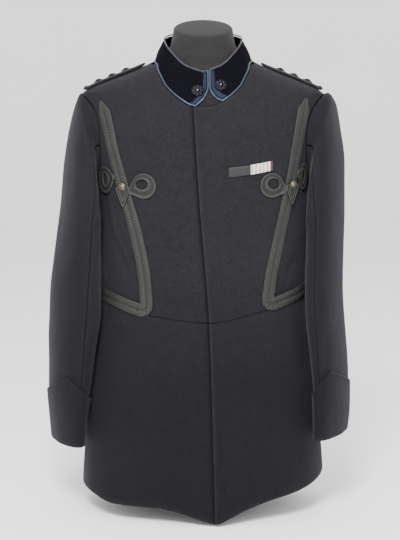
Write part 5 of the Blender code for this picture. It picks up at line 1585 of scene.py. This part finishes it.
def piping_material():
    """Corded light blue piping, greyer and worn along the top, with painted shade darkening it towards the
    back of the collar.
    """
    material, tree, shader, where = start_material("blue_piping", 0.62, sheen=0.15, specular=0.3)
    dirt = noise(tree, where, 120, 3, 0.6)
    clean = ramp(tree, dirt, (0.3, 0.030, 0.066, 0.130), (0.65, 0.090, 0.170, 0.290))
    # Painted shade: the piping is darkened towards the back of the collar.
    dark = mix(tree, value_of(tree, "painted_front_light"), (0.0030, 0.0045, 0.0150), clean)
    worn = ramp(tree, dirt, (0.3, 0.008, 0.009, 0.015), (0.7, 0.024, 0.026, 0.038))
    colour = mix(tree, math_node(tree, "MULTIPLY", value_of(tree, "faded"), 0.85), dark, worn)
    cord = waves(tree, where, 420, "DIAGONAL", 0.5, 2)
    finish_surface(tree, shader, colour, (cord, 0.35, 0.0002), (dirt, 0.3, 0.0003))
    return material


def braid_material():
    """Plaited black mohair faded to a greenish grey, its hollows painted darker as shade."""
    material, tree, shader, where = start_material("mohair_braid", 0.62, sheen=0.06, sheen_roughness=0.4,
                                                   sheen_tint=(0.85, 0.92, 0.80), specular=0.30)
    faded, strands = noise(tree, where, 30, 3, 0.6), noise(tree, where, 1100, 2, 0.6)
    colour = ramp(tree, faded, (0.30, 0.0130, 0.0148, 0.0128), (0.70, 0.0270, 0.0298, 0.0260))
    colour = mix(tree, spread(tree, strands, 0.40, 0.66, 0, 0.45), colour, (0.0560, 0.0600, 0.0500))
    # Painted shade in the hollows of the plait and under the braid.
    painted_hollow_shade = spread(tree, value_of(tree, "low"), 0.05, 0.50, 0.0, 0.95)
    colour = mix(tree, painted_hollow_shade, colour, (0.0020, 0.0021, 0.0020))
    knots = noise(tree, where, 300, 3, 0.6)
    finish_surface(tree, shader, colour, (strands, 0.45, 0.0003), (knots, 0.3, 0.0003))
    return material


def metal_material(name, pale, dark, roughness, painted_glint=None):
    """Dull metal with tarnish gathered in its hollows."""
    material, tree, shader, where = start_material(name, roughness, metallic=0.85, specular=0.5)
    tarnish, fine = noise(tree, where, 260, 4, 0.65), noise(tree, where, 1400, 2, 0.5)
    colour = ramp(tree, tarnish, (0.36, *dark), (0.62, *pale))
    # An optional painted highlight, pale where its value is set.
    if painted_glint is not None:
        colour = mix(tree, value_of(tree, "painted_glint"), colour, painted_glint)
    dulled = spread(tree, fine, 0.3, 0.7, roughness - 0.08, roughness + 0.14)
    tree.links.new(dulled, shader.inputs["Roughness"])
    finish_surface(tree, shader, colour, (tarnish, 0.2, 0.0002), (fine, 0.25, 0.0001))
    return material


def plain_cloth(name, dark, pale, rib_scale, rib_direction, sheen=0.05, rib=0.3):
    """A smooth dark cloth with a fine rib."""
    material, tree, shader, where = start_material(name, 0.88, sheen=sheen, specular=0.25)
    mottle, grain = noise(tree, where, 24, 4, 0.6), noise(tree, where, 620, 3, 0.65)
    ribs = waves(tree, where, rib_scale, rib_direction, 0.8, 3)
    colour = ramp(tree, mottle, (0.30, *dark), (0.70, *pale))
    colour = mix(tree, spread(tree, grain, 0.40, 0.68, 0, 0.4), colour, tuple(1.6 * part for part in pale))
    colour = mix(tree, spread(tree, ribs, 0.0, 0.5, 0.35, 0.0), colour, tuple(0.5 * part for part in dark))
    colour = mix(tree, value_of(tree, "shade"), colour, (0.0030, 0.0026, 0.0023))
    finish_surface(tree, shader, colour, (ribs, rib, 0.0003), (grain, 0.35, 0.0003))
    return material


def ribbon_material(name, ground, pale, stripes, end=None):
    """Ribbed silk ribbon with thin stripes across its length; stripes are (place, width, colour)."""
    material, tree, shader, where = start_material(name, 0.55, sheen=0.1, specular=0.4)
    across, worn = value_of(tree, "across"), noise(tree, where, 150, 3, 0.6)
    colour = ramp(tree, worn, (0.3, *ground), (0.7, *pale))
    for place, width, tone in stripes:
        off = math_node(tree, "ABSOLUTE", math_node(tree, "SUBTRACT", across, place), 0.0)
        colour = mix(tree, spread(tree, off, width, width * 0.6), colour, tone)
    if end is not None:
        start, tone = end
        colour = mix(tree, spread(tree, across, start, start + 0.01), colour, tone)
    ribs = waves(tree, where, 560, "X", 0.4, 2)
    finish_surface(tree, shader, colour, (ribs, 0.3, 0.0002), (worn, 0.2, 0.0002))
    return material


def steel_material():
    """Grey stoved paint on steel, a little chipped and dusty."""
    material, tree, shader, where = start_material("painted_steel", 0.45, metallic=0.0, specular=0.5)
    dust, peel = noise(tree, where, 18, 3), noise(tree, where, 480, 2)
    colour = ramp(tree, dust, (0.3, 0.075, 0.076, 0.080), (0.7, 0.105, 0.106, 0.110))
    tree.links.new(spread(tree, dust, 0.3, 0.7, 0.38, 0.58), shader.inputs["Roughness"])
    finish_surface(tree, shader, colour, (peel, 0.15, 0.0002))
    return material



collection = bpy.data.collections.new("tunic_details")
bpy.context.scene.collection.children.link(collection)

wool = wool_material()
velvet = velvet_material()
piping = piping_material()
braid = braid_material()
gilt = metal_material("dull_gilt", (0.17, 0.150, 0.092), (0.055, 0.046, 0.027), 0.48)
bronze = metal_material("dark_bronze", (0.009, 0.0075, 0.016), (0.0020, 0.0018, 0.0036), 0.45,
                        (0.16, 0.155, 0.17))
strap_cloth = plain_cloth("black_strap_cloth", (0.0020, 0.0020, 0.0024), (0.0040, 0.0040, 0.0046), 480,
                          "DIAGONAL")
thread = plain_cloth("dark_thread", (0.0030, 0.0030, 0.0038), (0.0075, 0.0075, 0.0090), 900, "DIAGONAL", 0.0)
form_cover = plain_cloth("charcoal_jersey", (0.0062, 0.0061, 0.0063), (0.0105, 0.0102, 0.0102), 330, "Z",
                         0.06, 0.45)
dark_ribbon = ribbon_material("dark_ribbon", (0.0020, 0.0018, 0.0022), (0.0042, 0.0036, 0.0042),
                              ((0.30, 0.05, (0.0060, 0.0025, 0.0028)),
                               (0.72, 0.05, (0.0022, 0.0028, 0.0060))))
dark_stripes = tuple((place, 0.022, (0.055, 0.055, 0.045)) for place in (0.06, 0.22, 0.40, 0.57, 0.75))
striped_ribbon = ribbon_material("striped_ribbon", (0.40, 0.38, 0.32), (0.60, 0.58, 0.51), dark_stripes,
                                 (0.87, (0.050, 0.016, 0.013)))
steel = steel_material()

SIDES = (("left", 1), ("right", -1))
for word, way in SIDES:
    make_front(word, way)
    make_back(word, way)
    make_skirt(word, way, "front")
    make_skirt(word, way, "back")
    make_sleeve(word, way, "top", -90, 90)
    make_sleeve(word, way, "under", 90, 270)
    make_cuff(word, way)
    make_cuff_stitches(word, way)
    make_collar(word, way)
    make_piping(word, way)
    make_chest_braid(word, way)
    make_waist_braid(word, way)
    tab_x, tab_z = LEFT_TAB if way > 0 else RIGHT_TAB
    make_tab(word, way * tab_x, tab_z)
    make_button(word, way * tab_x, tab_z + BUTTON_RISE)
    make_strap(word, way)
    make_strap_stitches(word, way)
    for number, pip_x in enumerate(PIP_X, start=1):
        make_pip(word, way, number, pip_x)
    make_rosette(word, way)
make_neck_facing()
for name, way, x, z, *_ in LOOPS:
    make_loop(name, way, x, z)
make_ribbon(*RIBBONS[0], dark_ribbon, "dark_ribbon")
make_ribbon(*RIBBONS[1], striped_ribbon, "striped_ribbon")
make_fly_stitches()
make_form()
for part in ("form_pole", "form_base"):
    for place in bpy.data.objects[part].material_slots:
        place.material = steel


def add_backdrop():
    """A pale floor that curves up behind the object."""
    profile = [(-9.0, 0.0), (5.2, 0.0), (5.8, 0.05), (6.3, 0.22), (6.7, 0.50), (6.95, 0.90), (7.1, 1.5),
               (7.15, 6.0)]
    points = [(x, y, z) for x in (-9.0, 9.0) for y, z in profile]
    count = len(profile)
    faces = [(row, row + 1, count + row + 1, count + row) for row in range(count - 1)]
    mesh = mesh_from("backdrop", points, faces)
    material, tree, shader, where = start_material("pale_backdrop", 0.9)
    tree.links.new(ramp(tree, noise(tree, where, 1.5, 2), (0.0, 0.93, 0.93, 0.93), (1.0, 0.96, 0.96, 0.96)),
                   shader.inputs["Base Color"])
    mesh.materials.append(material)
    item = bpy.data.objects.new("backdrop", mesh)
    bpy.context.scene.collection.objects.link(item)


def add_light(name, place, aim, size, power):
    lamp = bpy.data.lights.new(name, "AREA")
    lamp.shape = "RECTANGLE"
    lamp.size, lamp.size_y = size
    lamp.energy = power
    item = bpy.data.objects.new(name, lamp)
    item.visible_camera = False
    item.location = place
    direction = np.array(aim) - np.array(place)
    flat = math.hypot(direction[0], direction[1])
    item.rotation_euler = (math.atan2(flat, -direction[2]), 0, math.atan2(-direction[0], direction[1]))
    bpy.context.scene.collection.objects.link(item)


def add_camera():
    lens = bpy.data.cameras.new("photo_camera")
    lens.lens = 93.6
    lens.sensor_width = 36.0
    lens.clip_start = 0.05
    item = bpy.data.objects.new("photo_camera", lens)
    item.location = (-0.0054, -2.522, 0.752)
    item.rotation_euler = (math.radians(82.593), 0, 0)
    bpy.context.scene.collection.objects.link(item)
    bpy.context.scene.camera = item


add_backdrop()
add_light("key", (-0.30, -2.3, 2.3), (0, 0, 0.62), (0.8, 0.8), 165)
add_light("fill", (1.3, -2.3, 1.6), (0, 0, 0.5), (1.8, 1.8), 18)
add_light("low_fill", (0.0, -2.8, 0.35), (0, 0, 0.3), (2.4, 0.7), 5)
add_light("back_rim", (0.0, 1.3, 2.3), (0, 0, 0.6), (2.2, 1.0), 8)
add_camera()
world = bpy.data.worlds.new("soft_white")
world.use_nodes = True
world.node_tree.nodes["Background"].inputs["Color"].default_value = (1, 1, 1, 1)
world.node_tree.nodes["Background"].inputs["Strength"].default_value = 1.6
bpy.context.scene.world = world
